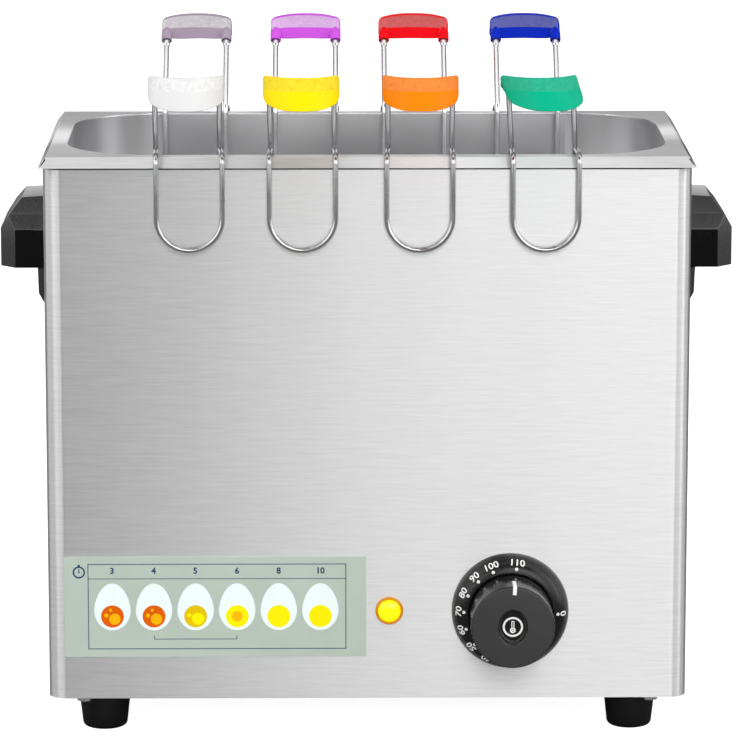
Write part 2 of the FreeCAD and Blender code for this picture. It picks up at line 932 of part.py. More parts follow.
# ---------------------------------------------------------------- side handles
def hood(shrink, mouth):
    """Hipped hood: the overlap of its end view, side view and plan. shrink gives its hollow."""
    reach = handle_reach - shrink
    half = handle_length / 2 - shrink
    top = handle_top - shrink
    narrowing = reach / handle_reach
    shoulder = handle_shoulder
    hip = handle_hip
    end_view = [
        Vector(0, -half, mouth),
        Vector(0, -half, top),
        Vector(handle_crown_reach * narrowing, -half, top - handle_crown_drop),
        Vector(handle_brow_reach * narrowing, -half, top - shoulder),
        Vector(reach, -half, top - hip),
        Vector(reach, -half, mouth),
    ]
    side_view = [
        Vector(0, -half, mouth),
        Vector(0, -half, top - hip),
        Vector(0, -half + shoulder / 2, top - shoulder),
        Vector(0, -half + handle_hip_run, top),
        Vector(0, half - handle_hip_run, top),
        Vector(0, half - shoulder / 2, top - shoulder),
        Vector(0, half, top - hip),
        Vector(0, half, mouth),
    ]
    corner = handle_corner
    plan = [
        Vector(0, -half, mouth),
        Vector(reach - corner, -half, mouth),
        Vector(reach, -half + corner, mouth),
        Vector(reach, half - corner, mouth),
        Vector(reach - corner, half, mouth),
        Vector(0, half, mouth),
    ]
    return (
        extrude_outline(end_view, Vector(0, 2 * half, 0))
        .common(extrude_outline(side_view, Vector(reach, 0, 0)))
        .common(extrude_outline(plan, Vector(0, 0, top - mouth)))
    )


def side_handle(side):
    """Moulded grip, open underneath for the fingers, with a thick plate against the housing."""
    half = handle_length / 2
    shell = hood(0.0, handle_mouth).cut(hood(handle_wall, handle_mouth))
    taper = handle_corner
    plate = extrude_outline(
        [
            Vector(0, -half, handle_mouth),
            Vector(0, -half + taper, handle_foot),
            Vector(0, half - taper, handle_foot),
            Vector(0, half, handle_mouth),
            Vector(0, half, handle_top - handle_hip),
            Vector(0, half - handle_hip, handle_top - handle_shoulder),
            Vector(0, -half + handle_hip, handle_top - handle_shoulder),
            Vector(0, -half, handle_top - handle_hip),
        ],
        Vector(handle_base, 0, 0),
    )
    thinning = extrude_outline(
        [
            Vector(handle_foot_edge, -half, handle_foot),
            Vector(handle_base, -half, handle_foot),
            Vector(handle_base, -half, handle_foot + handle_foot_run),
        ],
        Vector(0, 2 * half, 0),
    )
    holes = []
    for y in (-handle_screw_pitch / 2, handle_screw_pitch / 2):
        place = Vector(0, y, handle_screw_height)
        depth = handle_screw_grip + handle_screw_spare
        holes.append(pin(handle_screw + 2 * fit_gap, place, Vector(1, 0, 0), depth))
    handle = shell.fuse(plate).cut([thinning] + holes).removeSplitter()
    if side < 0:
        handle = handle.mirror(Vector(), Vector(1, 0, 0))
    handle.translate(Vector(side * housing_width / 2, 0, 0))
    return handle


def handle_screws():
    """Screws from inside the housing into the bosses of both handles."""
    screws = []
    for side, place in handle_screw_places():
        outward = Vector(side, 0, 0)
        seat = place - outward * sheet
        shank = pin(handle_screw, seat, outward, sheet + handle_screw_grip)
        head = prism(handle_screw_head, seat, -outward, handle_screw_head_height)
        screws.append(shank.fuse(head))
    return screws


# ---------------------------------------------------------------- baskets
# A basket is made at its own origin: the stems' plane is y = 0, outward is -y, the rim's top is z = 0.
def stem_path(x):
    """One long wire: from the grip down to the cradle, under the egg and up the far side."""
    far_y = 2 * ring_centre_y
    corners = [
        Vector(x, grip_seat.y, grip_seat.z) + Vector(lean).normalize() * stem_in_grip,
        Vector(x, 0, lean_start),
        Vector(x, 0, cradle_floor),
        Vector(x, far_y, cradle_floor),
        Vector(x, far_y, -cradle_top + wire),
    ]
    lower = rounded_path(corners[1:], cradle_bend, 2)
    return [corners[0]] + lower


def cross_rib():
    """Wire under the stems, whose ends meet the ring from below."""
    side = ring_corner_radius
    bend = side - stem_spacing / 2 - wire
    low = cradle_floor - wire - weld_gap
    end = -cradle_top - wire / 2 - weld_gap
    corners = [
        Vector(-side, ring_centre_y, end),
        Vector(-side, ring_centre_y, low),
        Vector(side, ring_centre_y, low),
        Vector(side, ring_centre_y, end),
    ]
    return bent_wire(rounded_path(corners, bend, 2), wire, wire_sides)


def cradle_ring():
    """Ring that keeps the egg upright, inside the stems."""
    points = []
    for i in range(ring_runs + 1):
        angle = 2 * math.pi * (i + 0.5) / ring_runs
        spoke = Vector(math.cos(angle), math.sin(angle), 0) * ring_corner_radius
        points.append(Vector(0, ring_centre_y, -cradle_top) + spoke)
    return bent_wire(points, wire, wire_sides)


def basket_frame():
    """The wires of one basket."""
    stems = [bent_wire(stem_path(x), wire, wire_sides) for x in (-stem_spacing / 2, stem_spacing / 2)]
    return stems + [cradle_ring(), cross_rib()]


def basket_hook():
    """U-shaped hanger: welded along both stems, over the rim and down the outside."""
    inner_x = stem_spacing / 2
    leg_y = -wire - weld_gap
    over_z = hook_rest_gap + wire / 2
    outer_y = -(rim_outer_y - stem_y) - wire / 2 - hook_stand_off
    u_radius = inner_x + hook_spread
    side = [
        Vector(-inner_x, leg_y, -hook_weld_length),
        Vector(-inner_x, leg_y, over_z),
        Vector(-u_radius, outer_y, over_z),
        Vector(-u_radius, outer_y, -hook_drop + u_radius),
    ]
    down = [side[0]]
    down += rounded_corner(side[0], side[1], side[2], wire / 2, 1)
    down += rounded_corner(side[1], side[2], side[3], hook_bend, 2)
    loop = []
    for i in range(hook_runs + 1):
        angle = math.pi * i / hook_runs
        loop.append(
            Vector(
                -u_radius * math.cos(angle), outer_y, side[3].z - u_radius * math.sin(angle)
            )
        )
    return bent_wire(down + loop + mirrored(down), wire, wire_sides)


def grip_section(x):
    """Hood section at one place along the grip: inner face, ridge and outer lip."""
    share = 1 - (2 * x / grip_width) ** 2
    wall = grip_wall
    foot_y = grip_seat.y + wall / 2
    foot_z = grip_seat.z - grip_foot_drop
    ridge_y = grip_seat.y - grip_ridge_reach - grip_bow * share
    ridge_z = grip_seat.z + grip_ridge_rise - grip_rounding
    lip_y = ridge_y - grip_lip_reach
    lip_z = grip_seat.z + grip_ridge_rise - grip_lip_drop - grip_lip_crown * share
    return [
        Vector(x, foot_y, foot_z),
        Vector(x, ridge_y + wall, ridge_z),
        Vector(x, ridge_y - wall / 2, ridge_z),
        Vector(x, lip_y, lip_z),
        Vector(x, lip_y + wall, lip_z),
        Vector(x, ridge_y + 2 * grip_rounding, ridge_z - wall),
        Vector(x, foot_y - wall, foot_z - grip_rounding),
    ]


def basket_grip():
    """Coloured plastic hood for the fingers, with two sockets on the stems."""
    grip = faceted_loft([grip_section(share * grip_width) for share in GRIP_STATIONS])
    along = Vector(lean).normalize()
    bore_width = wire + 2 * socket_clearance
    bores = []
    for x in (-stem_spacing / 2, stem_spacing / 2):
        end = Vector(x, grip_seat.y, grip_seat.z) + along * (stem_in_grip + socket_clearance)
        mouth = end - along * socket_length
        socket = prism(socket_diameter, mouth, along, socket_length + socket_cap, wire_sides)
        grip = grip.fuse(socket)
        bore = regular_outline(mouth, along, bore_width / 2, wire_sides)
        bores.append(Part.Face(bore).extrude(along * socket_length))
    return grip.cut(bores)


def place_basket(shape, column, row, slide, turn):
    """Moves a basket's piece from its own origin to its place on the rim."""
    placed = shape.copy()
    placed.rotate(Vector(), UP, turn)
    if row == "rear":
        placed.rotate(Vector(), UP, 180)
    side = -1 if row == "front" else 1
    placed.translate(Vector(column * basket_pitch + slide, side * stem_y, rim_top))
    return placed


def main():
    """Builds every piece."""
    os.makedirs("parts", exist_ok=True)
    for node, panel in housing_panels():
        save(node, panel)
    save("base_plate", base_plate())
    save("base_screws", *base_screws())
    save("rubber_feet", *rubber_feet())
    save("foot_screws", *foot_screws())
    save("rim_frame", rim_frame())
    save("tank", tank())
    save("heating_element", heating_element())
    save("heater_clamp", heater_clamp())
    save("clamp_studs", *clamp_studs())
    save("safety_cutout", safety_cutout())
    save("thermostat_body", thermostat_body())
    save("thermostat_bulb", *thermostat_bulb())
    save("thermostat_spindle", thermostat_spindle())
    save("dial_ring", dial_ring())
    save("control_knob", control_knob())
    save("knob_badge", knob_badge())
    save("lamp_body", lamp_body())
    save("lamp_lens", lamp_lens())
    save("lamp_nut", lamp_nut())
    save("chart_label", chart_label())
    save("cable_gland", cable_gland())
    save("gland_locknut", gland_locknut())
    save("terminal_block", terminal_block())
    save("earth_terminal", earth_terminal())
    save("side_handle_left", side_handle(-1))
    save("side_handle_right", side_handle(1))
    save("handle_screws", *handle_screws())
    frame = basket_frame()
    hook = basket_hook()
    grip = basket_grip()
    for colour, place in BASKETS.items():
        save(f"frame_{colour}", *[place_basket(wire_run, *place) for wire_run in frame])
        save(f"hook_{colour}", place_basket(hook, *place))
        save(f"grip_{colour}", place_basket(grip, *place))


main()
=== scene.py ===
# %% [markdown]
# # Dressing a countertop egg boiler
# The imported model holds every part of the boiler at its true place: a brushed steel
# housing, a deep tank, eight wire baskets with coloured grips, a knob, a pilot lamp and a
# cooking chart. Parts whose shape is right only get a finish here; wires, grips, knob and
# lamp are modelled again, finer, and the small prints are added.

import json
import math

import bmesh
import bpy
from mathutils import Matrix, Vector

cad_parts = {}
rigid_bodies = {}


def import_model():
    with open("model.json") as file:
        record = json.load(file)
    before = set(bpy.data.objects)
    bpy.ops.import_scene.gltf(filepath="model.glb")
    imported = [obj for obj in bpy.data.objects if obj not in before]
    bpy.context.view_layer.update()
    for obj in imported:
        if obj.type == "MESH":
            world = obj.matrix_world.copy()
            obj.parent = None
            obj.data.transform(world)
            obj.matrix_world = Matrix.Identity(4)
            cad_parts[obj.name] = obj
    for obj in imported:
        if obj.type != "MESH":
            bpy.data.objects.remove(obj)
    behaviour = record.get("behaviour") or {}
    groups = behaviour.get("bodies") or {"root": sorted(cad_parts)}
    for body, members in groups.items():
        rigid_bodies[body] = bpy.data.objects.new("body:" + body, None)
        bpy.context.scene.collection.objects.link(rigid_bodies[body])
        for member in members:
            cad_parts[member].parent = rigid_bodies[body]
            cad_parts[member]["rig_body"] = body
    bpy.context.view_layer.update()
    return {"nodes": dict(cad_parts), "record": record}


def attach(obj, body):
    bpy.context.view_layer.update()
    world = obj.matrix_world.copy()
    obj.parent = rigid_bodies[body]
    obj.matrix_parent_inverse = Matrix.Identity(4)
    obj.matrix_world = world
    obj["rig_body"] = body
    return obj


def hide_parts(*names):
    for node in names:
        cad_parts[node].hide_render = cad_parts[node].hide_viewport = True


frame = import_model()
scene = bpy.context.scene
nodes = frame["nodes"]
MM = 0.001

# %% [markdown]
# ## Camera
# A catalogue view is taken with a long lens from a little above, so that the front stays
# nearly square and the inside of the tank shows over the rim. The lens follows from the
# distance: 222 mm on a 36 mm sensor frames the boiler from about two and a third metres.

# %% Camera
lens = bpy.data.cameras.new("catalogue_lens")
lens.lens = 221.9
lens.sensor_width = 36.0
camera = bpy.data.objects.new("catalogue_camera", lens)
scene.collection.objects.link(camera)
camera.location = (-0.02063, -2.32445, 0.62937)
camera.rotation_euler = (math.pi / 2 - 0.1930, 0.0, -0.0093)
scene.camera = camera
print("camera", round(camera.location.length, 3), "m from the origin")

# %% [markdown]
# ## Node helpers
# Every finish below is a small tree of shader nodes. Helpers keep the cells short: they
# start a material with plain numbers on the shader's own sockets, add a noise stretched
# along any axis in object space, and turn its grey into a number, a colour or a bump.

# %% Material helpers
def start_material(name, **sockets):
    material = bpy.data.materials.new(name)
    material.use_nodes = True
    shader = material.node_tree.nodes["Principled BSDF"]
    for socket, value in sockets.items():
        shader.inputs[socket.replace("_", " ")].default_value = value
    return material, material.node_tree, shader


def stretched_noise(tree, stretch, detail=2.0):
    place = tree.nodes.new("ShaderNodeTexCoord")
    mapping = tree.nodes.new("ShaderNodeMapping")
    mapping.inputs["Scale"].default_value = stretch
    noise = tree.nodes.new("ShaderNodeTexNoise")
    noise.inputs["Scale"].default_value = 1.0
    noise.inputs["Detail"].default_value = detail
    tree.links.new(place.outputs["Object"], mapping.inputs["Vector"])
    tree.links.new(mapping.outputs["Vector"], noise.inputs["Vector"])
    return noise.outputs["Fac"]


def remap(tree, value, low, high):
    spread = tree.nodes.new("ShaderNodeMapRange")
    spread.inputs["From Min"].default_value = 0.3
    spread.inputs["From Max"].default_value = 0.7
    spread.inputs["To Min"].default_value = low
    spread.inputs["To Max"].default_value = high
    tree.links.new(value, spread.inputs["Value"])
    return spread.outputs["Result"]


def shade_between(tree, value, dark, light, start=0.3, end=0.7):
    ramp = tree.nodes.new("ShaderNodeValToRGB")
    ramp.color_ramp.elements[0].position = start
    ramp.color_ramp.elements[0].color = (*dark, 1.0)
    ramp.color_ramp.elements[1].position = end
    ramp.color_ramp.elements[1].color = (*light, 1.0)
    tree.links.new(value, ramp.inputs["Fac"])
    return ramp.outputs["Color"]


def bump(tree, shader, value, distance, strength):
    node = tree.nodes.new("ShaderNodeBump")
    node.inputs["Distance"].default_value = distance
    node.inputs["Strength"].default_value = strength
    tree.links.new(value, node.inputs["Height"])
    tree.links.new(node.outputs["Normal"], shader.inputs["Normal"])


print("material helpers ready")

# %% [markdown]
# ## Brushed steel
# The housing is stainless sheet, brushed along its length. The brush leaves hairlines and
# broader streaks that run level round the box, so two noises vary quickly in height and
# slowly sideways. Together they drive the tone, the gloss and a very shallow bump, and the
# shader's anisotropy spreads the reflections up and down, across the grain.

# %% Brushed housing steel
hairlines_per_m, streaks_per_m = 2600.0, 700.0
streak_share, streak_shade = 0.40, 0.88


def brushed_steel(name, tone, roughness, grain):
    material, tree, shader = start_material(
        name, Metallic=1.0, Roughness=roughness, Anisotropic=1.0, Anisotropic_Rotation=0.25
    )
    tangent = tree.nodes.new("ShaderNodeTangent")
    tangent.direction_type = "RADIAL"
    tangent.axis = "Z"
    tree.links.new(tangent.outputs["Tangent"], shader.inputs["Tangent"])
    hairlines = stretched_noise(tree, (grain, grain, hairlines_per_m))
    streaks = stretched_noise(tree, (grain / 2, grain / 2, streaks_per_m), detail=3.0)
    both = tree.nodes.new("ShaderNodeMix")
    both.inputs["Factor"].default_value = streak_share
    tree.links.new(hairlines, both.inputs["A"])
    tree.links.new(streaks, both.inputs["B"])
    grey = both.outputs["Result"]
    dark = tuple(c * streak_shade for c in tone)
    tree.links.new(shade_between(tree, grey, dark, tone, 0.34, 0.66), shader.inputs["Base Color"])
    gloss = remap(tree, grey, roughness - 0.03, roughness + 0.04)
    tree.links.new(gloss, shader.inputs["Roughness"])
    bump(tree, shader, grey, 0.00001, 0.25)
    return material


FINISH = {}
FINISH["brushed_housing"] = brushed_steel(
    "brushed_housing_steel", (0.873, 0.873, 0.879), 0.37, 75.0
)
print(FINISH["brushed_housing"].name)

# %% [markdown]
# ## Satin steel, wire and zinc
# The tank is deep drawn and comes out satin, with a faint cloudiness instead of hairlines.
# Basket wire is bright drawn steel; the hooks are bent from a duller grade of it. Hidden
# sheet and screws are galvanised, which shows as a mottled, duller grey.

# %% Satin tank, bright wire, zinc
def clouded_steel(name, tone, roughness, size, depth, shift=0.86, metallic=1.0):
    material, tree, shader = start_material(name, Metallic=metallic, Roughness=roughness)
    cloud = stretched_noise(tree, (size,) * 3, detail=4.0)
    dark = tuple(c * shift for c in tone)
    tree.links.new(shade_between(tree, cloud, dark, tone), shader.inputs["Base Color"])
    gloss = remap(tree, cloud, roughness - 0.04, roughness + 0.06)
    tree.links.new(gloss, shader.inputs["Roughness"])
    bump(tree, shader, stretched_noise(tree, (size * 12,) * 3), depth, 0.4)
    return material


FINISH.update(
    tank_steel=clouded_steel("satin_tank_steel", (0.75, 0.75, 0.76), 0.30, 14.0, 1e-5, 0.93),
    basket_wire=clouded_steel(
        "bright_basket_wire", (0.80, 0.80, 0.81), 0.19, 60.0, 2e-6, 0.96, metallic=0.95
    ),
    galvanised_sheet=clouded_steel("galvanised_sheet", (0.50, 0.51, 0.53), 0.42, 60.0, 3e-5),
    zinc_fasteners=clouded_steel("zinc_fasteners", (0.55, 0.56, 0.58), 0.32, 120.0, 2e-5),
    spindle_steel=clouded_steel("spindle_steel", (0.55, 0.55, 0.56), 0.25, 90.0, 1e-5),
    heater_sheath=clouded_steel("heater_sheath", (0.30, 0.27, 0.24), 0.45, 70.0, 3e-5),
    copper_bulb=clouded_steel("copper_bulb", (0.72, 0.36, 0.20), 0.30, 80.0, 2e-5),
)
HOOK_STEEL = clouded_steel("hook_wire_steel", (0.50, 0.50, 0.505), 0.16, 60.0, 2e-6, 0.96)
print(sorted(FINISH))

# %% [markdown]
# ## Plastics and rubber
# Moulded plastic is never one flat colour: a fine grain breaks up its gloss, and the tone
# shifts a little over a part. A smooth moulding gets a very small, shallow grain; the top of
# a finger grip and the rubber feet get a coarse one. Two parts carry a second finish: the
# knob's polished flank and the handles' satin facets, which are a lighter grey as painted light.

# %% Moulded plastics
def moulded(
    name, colour, roughness, grain=900.0, depth=2e-5, gloss=0.3, shift=0.88, patch=35.0,
    metallic=0.0,
):
    material, tree, shader = start_material(
        name, Metallic=metallic, Roughness=roughness, Specular_IOR_Level=gloss
    )
    tone = stretched_noise(tree, (patch,) * 3, detail=3.0)
    dark = tuple(c * shift for c in colour)
    tree.links.new(shade_between(tree, tone, dark, colour), shader.inputs["Base Color"])
    pebble = stretched_noise(tree, (grain,) * 3)
    sheen = remap(tree, pebble, roughness - 0.06, roughness + 0.08)
    tree.links.new(sheen, shader.inputs["Roughness"])
    bump(tree, shader, pebble, depth, 0.5)
    return material


BLACK = (0.004, 0.004, 0.004)
FINISH.update(
    handle_plastic=moulded("handle_black", (0.001, 0.001, 0.001), 0.10, depth=4e-6, gloss=0.25),
    dial_plastic=moulded("dial_black", BLACK, 0.26, depth=1e-5, gloss=0.4),
    knob_plastic=moulded("knob_charcoal", (0.040, 0.040, 0.041), 0.36),
    foot_rubber=moulded("foot_rubber", (0.005, 0.005, 0.005), 0.50, 500.0, 6e-5, gloss=0.2),
    dark_plastic=moulded("gland_grey", (0.045, 0.047, 0.050), 0.42, 600.0, 4e-5),
    amber_plastic=moulded("lamp_amber", (0.70, 0.28, 0.005), 0.22),
)
# Painted light: the handles' slanted facets are a lighter grey than their black flat faces, for
# the light they catch.
HANDLE_FACET_PAINTED_LIGHT = moulded("handle_satin_painted_light", (0.032, 0.032, 0.033), 0.26, 2500.0, 5e-7, 0.6)
KNOB_SIDE = moulded("knob_side_black", BLACK, 0.18, depth=3e-6, gloss=0.45)
print(len(FINISH), "finishes so far")

# %% [markdown]
# ## Printing inks and the pilot lamp
# The dial, the chart and the badge carry screen-printed ink. Ink is matt and slightly
# uneven, so each one is a moulded finish with little grain. The chart's film has a metallic
# pigment. The lamp lens is a clear yellow moulding that is lit from behind, so it also gives
# off a little light of its own.

# %% Inks and lens
INK = {
    "white": moulded("ink_white", (0.88, 0.88, 0.86), 0.50, shift=0.96),
    "egg_white": moulded("ink_egg_white", (0.85, 0.95, 0.94), 0.45, gloss=0.1, shift=0.97),
    "blue": moulded("ink_blue", (0.015, 0.060, 0.140), 0.50, gloss=0.1),
    "line": moulded("ink_line", (0.075, 0.150, 0.200), 0.50, gloss=0.1),
    "yolk_orange": moulded("ink_yolk_orange", (0.80, 0.125, 0.00), 0.45, gloss=0.08),
    "yolk_soft": moulded("ink_yolk_soft", (1.00, 0.50, 0.00), 0.45, gloss=0.08),
    "yolk_amber": moulded("ink_yolk_amber", (0.84, 0.58, 0.00), 0.45, gloss=0.08),
    "yolk_yellow": moulded("ink_yolk_yellow", (1.00, 0.86, 0.00), 0.45, gloss=0.08, shift=0.96),
}
FINISH["badge_print"] = FINISH["knob_plastic"]
FINISH["chart_print"] = moulded(
    "chart_film", (0.64, 0.74, 0.65), 0.34, 1500.0, 1e-5, shift=0.94, metallic=0.5
)
LENS_DEEP, LENS_PALE = (1.0, 0.72, 0.0), (1.0, 0.85, 0.0)
lit, lit_tree, lit_shader = start_material(
    "lamp_lens_yellow", Roughness=0.12, Emission_Strength=0.55, Emission_Color=(*LENS_DEEP, 1.0)
)
glow = stretched_noise(lit_tree, (120.0,) * 3)
lens_tone = shade_between(lit_tree, glow, LENS_DEEP, LENS_PALE)
lit_tree.links.new(lens_tone, lit_shader.inputs["Base Color"])
FINISH["lamp_lens"] = lit
print(len(INK), "inks")

# %% [markdown]
# ## Grip colours
# Each basket has its own colour, so that cooks can tell orders apart. Every grip uses three
# finishes of one colour: smooth plastic for the lips, and a grained one for the pad on top
# where the finger pulls, lightened with dust and painted sheen. The underside and the lip's
# lower edge, which the light hardly reaches, are a deeper tone: painted shade.

# %% Grip plastics
GRIP_COLOURS = {
    "white": (0.77, 0.77, 0.77),
    "yellow": (1.00, 0.76, 0.00),
    "orange": (1.00, 0.24, 0.00),
    "green": (0.00, 0.44, 0.25),
    "grey": (0.40, 0.32, 0.41),
    "purple": (0.67, 0.10, 0.79),
    "red": (0.918, 0.00, 0.006),
    "blue": (0.00, 0.020, 0.488),
}
# How much of each pad's colour is dust and painted sheen, and how grey that haze is.
DUST_AND_SHEEN = {
    "white": (0.40, 0.96), "yellow": (0.08, 0.35), "orange": (0.08, 0.60), "green": (0.04, 0.70),
    "grey": (0.62, 0.80), "purple": (0.50, 0.88), "red": (0.39, 0.32), "blue": (0.38, 0.32),
}
underside_shade_share, grip_gloss = 0.62, 0.10
PAD, UNDERSIDE_SHADE = {}, {}
for colour, tone in GRIP_COLOURS.items():
    plain = "grip_" + colour
    FINISH[plain] = moulded(plain, tone, 0.34, 700.0, gloss=grip_gloss, shift=0.93)
    share, grey = DUST_AND_SHEEN[colour]
    # The pad's colour is partly dust and partly a painted sheen of the light from above.
    dusty_and_lit = tuple(c * (1 - share) + grey * share for c in tone)
    PAD[colour] = moulded("pad_" + colour, dusty_and_lit, 0.60, 900.0, 4e-4, grip_gloss, 0.82, 460.0)
    # Painted shade: the faces that look down get the grip colour darkened.
    deep = tuple(c * underside_shade_share for c in tone)
    UNDERSIDE_SHADE[colour] = moulded("lip_" + colour, deep, 0.40, 700.0, gloss=grip_gloss, shift=0.93)
print(len(PAD), "grip colours")

# %% [markdown]
# ## Finishes on the parts that keep their shape
# The record names a finish for every node. A node whose shape is right keeps it, and only
# its material changes.

# %% Give every node its finish
for part in frame["record"]["subparts"]:
    mesh = nodes[part["node"]].data
    mesh.materials.clear()
    mesh.materials.append(FINISH[part["material_slot"]])
SLOT_OF = {part["node"]: part["material_slot"] for part in frame["record"]["subparts"]}
print("dressed", len(SLOT_OF), "nodes")

# %% [markdown]
# ## Piece helpers
# A finished piece sits at the origin with its place in its mesh. This helper closes a
# bmesh: it merges doubles, turns the faces outwards, shades smooth with sharp creases,
# tells the frame which body the piece rides on, and hides the nodes it stands for. Its finish
# is the slot's own unless others are given. The other helpers round edges or corners off, pull
# edges out into a wall, and add one bmesh to another.

# %% Finish a bmesh as a piece
def finish_piece(name, bm, body, slot, stands_for=(), finishes=None, crease=32.0, outwards=True):
    bmesh.ops.remove_doubles(bm, verts=bm.verts, dist=1e-7)
    if outwards:
        bmesh.ops.recalc_face_normals(bm, faces=bm.faces)
    mesh = bpy.data.meshes.new(name)
    bm.to_mesh(mesh)
    bm.free()
    mesh.shade_smooth()
    mesh.set_sharp_from_angle(angle=math.radians(crease))
    for material in finishes or [FINISH[slot]]:
        mesh.materials.append(material)
    piece = bpy.data.objects.new(name, mesh)
    scene.collection.objects.link(piece)
    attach(piece, body)
    if stands_for:
        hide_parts(*stands_for)
    print(name, len(mesh.polygons), "faces")


def round_off(bm, geom, radius, segments, affect="EDGES"):
    bmesh.ops.bevel(
        bm, geom=geom, offset=radius, offset_type="OFFSET", segments=segments, profile=0.5,
        affect=affect, clamp_overlap=affect == "EDGES", material=-1,
    )


def pull_edges(bm, step):
    grown = bmesh.ops.extrude_edge_only(bm, edges=bm.edges[:])["geom"]
    moved = [v for v in grown if isinstance(v, bmesh.types.BMVert)]
    bmesh.ops.translate(bm, verts=moved, vec=step)


def append_bmesh(bm, addition):
    passing = bpy.data.meshes.new("passing")
    addition.to_mesh(passing)
    addition.free()
    bm.from_mesh(passing)
    bpy.data.meshes.remove(passing)


# %% [markdown]
# ## Sheet metal with its folds
# The housing panels, the tank and the rim come over as loose triangles. A merged copy
# shades smoothly round the corner radii, and a hair of bevel on the folded edges catches
# the light the way a real brake fold does. Broad faces get a narrow border, so that the
# smooth shading of the corners stops at the border and the sheet itself stays flat. Where a
# part has a second finish, it goes on the facets that face along no axis; on the handles it
# is a lighter grey, painted light on those facets.

# %% Merged copies
broad_area = 0.0015  # square metres
broad_border = 0.4
slanted = 0.97  # a facet's largest normal component stays below this


def merged_copy(node, edge=0.0, segments=2, crease=32.0, fold=40.0, lit_facet_finish=None):
    bm = bmesh.new()
    bm.from_mesh(nodes[node].data)
    bmesh.ops.remove_doubles(bm, verts=bm.verts, dist=1e-6)
    bmesh.ops.dissolve_limit(
        bm, angle_limit=math.radians(0.5), verts=bm.verts, edges=bm.edges, delimit={"NORMAL"}
    )
    broad = [f for f in bm.faces if f.calc_area() > broad_area]
    bmesh.ops.inset_individual(bm, faces=broad, thickness=broad_border * MM, use_even_offset=True)
    if edge:
        sharp = [
            e for e in bm.edges if e.is_manifold and e.calc_face_angle(0.0) > math.radians(fold)
        ]
        round_off(bm, sharp, edge, segments)
    finishes = [FINISH[SLOT_OF[node]]]
    # The second finish goes on the slanted facets; on the handles it is painted light.
    if lit_facet_finish:
        finishes.append(lit_facet_finish)
        bm.normal_update()
        for face in bm.faces:
            face.material_index = int(max(abs(c) for c in face.normal) < slanted)
    body, slot = nodes[node]["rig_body"], SLOT_OF[node]
    finish_piece("smooth_" + node, bm, body, slot, [node], finishes, crease, outwards=False)


for panel in ("housing_front", "housing_rear", "housing_left", "housing_right", "tank"):
    merged_copy(panel)
merged_copy("rim_frame", edge=0.35 * MM)

# %% [markdown]
# ## Painted shadow under the rim
# Where the rim's skirt overhangs the housing, a narrow shadow gap runs all round. A thin
# black strip stands in for it as painted shadow, and shows as a fine black line. It is a
# rounded rectangle, extruded up and given a wall.

# %% Painted shadow strip under the rim
shadow_strip_height, shadow_strip_wall, shadow_strip_gap = 0.75, 0.9, 0.02
housing_width, housing_depth, housing_corner, housing_top = 325.0, 172.0, 9.0, 293.6


def rounded_rectangle(width, depth, corner, height):
    bm = bmesh.new()
    bmesh.ops.create_grid(bm, x_segments=1, y_segments=1, size=0.5)
    bmesh.ops.scale(bm, verts=bm.verts, vec=(width * MM, depth * MM, 1.0))
    bmesh.ops.translate(bm, verts=bm.verts, vec=(0, 0, height * MM))
    round_off(bm, bm.verts[:], corner * MM, 8, "VERTICES")
    return bm


# Painted shadow: a thin black strip stands where the rim's overhang leaves a shadow gap.
shadow_strip = rounded_rectangle(
    housing_width + 2 * shadow_strip_wall, housing_depth + 2 * shadow_strip_wall, housing_corner + shadow_strip_wall,
    housing_top - shadow_strip_height,
)
bmesh.ops.delete(shadow_strip, geom=shadow_strip.faces[:], context="FACES_ONLY")
pull_edges(shadow_strip, (0, 0, (shadow_strip_height - shadow_strip_gap) * MM))
bmesh.ops.recalc_face_normals(shadow_strip, faces=shadow_strip.faces)
bmesh.ops.solidify(shadow_strip, geom=shadow_strip.faces[:], thickness=0.8 * shadow_strip_wall * MM)
finish_piece("rim_shadow_strip", shadow_strip, "root", "dark_plastic", finishes=[FINISH["foot_rubber"]])

# %% [markdown]
# ## Side handles
# Each handle is a black moulded hood with hipped facets. A mould can't make a razor edge,
# so every facet edge gets a four-step bevel: on glossy plastic such small radii are what the
# eye sees. The slanted facets are satin and a lighter grey, painted light for the light they
# catch; the flat faces are polished black.

# %% Handles
for handle in ("side_handle_left", "side_handle_right"):
    merged_copy(
        handle, edge=1.5 * MM, segments=4, crease=60.0, fold=14.0, lit_facet_finish=HANDLE_FACET_PAINTED_LIGHT
    )

# %% [markdown]
# ## Lines that bend
# Wire and turned profiles both start as a chain of straight runs with rounded corners. The
# vertex bevel does exactly that: it cuts a corner back along both runs and puts an arc in.
# The cut-back for an arc of radius r over a turn t is r * tan(t / 2).

# %% Rounded chain
def rounded_chain(corners, radii, segments):
    bm = bmesh.new()
    line = [bm.verts.new(Vector(c) * MM) for c in corners]
    for near, far in zip(line, line[1:]):
        bm.edges.new((near, far))
    inner = list(zip(line[1:-1], radii))
    cuts = []
    for k, (corner, radius) in enumerate(inner):
        back = (line[k].co - corner.co).normalized()
        ahead = (line[k + 2].co - corner.co).normalized()
        turn = math.pi - back.angle(ahead)
        cuts.append(radius * MM * math.tan(turn / 2))
    for (corner, radius), cut in zip(inner, cuts):
        if cut > 1e-6:
            round_off(bm, [corner], cut, segments, "VERTICES")
    return bm


def ordered_points(bm):
    ends = [v for v in bm.verts if len(v.link_edges) == 1]
    first = min(ends, key=lambda v: max(v.index, 0))
    path, came = [first], None
    while True:
        onward = [e for e in path[-1].link_edges if e is not came]
        if not onward:
            return [v.co.copy() for v in path]
        came = onward[0]
        path.append(came.other_vert(path[-1]))


print("chains ready")

# %% [markdown]
# ## Round wire
# A wire is the path of its middle line, swept by a circle. A curve with a bevel depth does
# the sweep; it is turned into a mesh at once and added to the basket's bmesh.

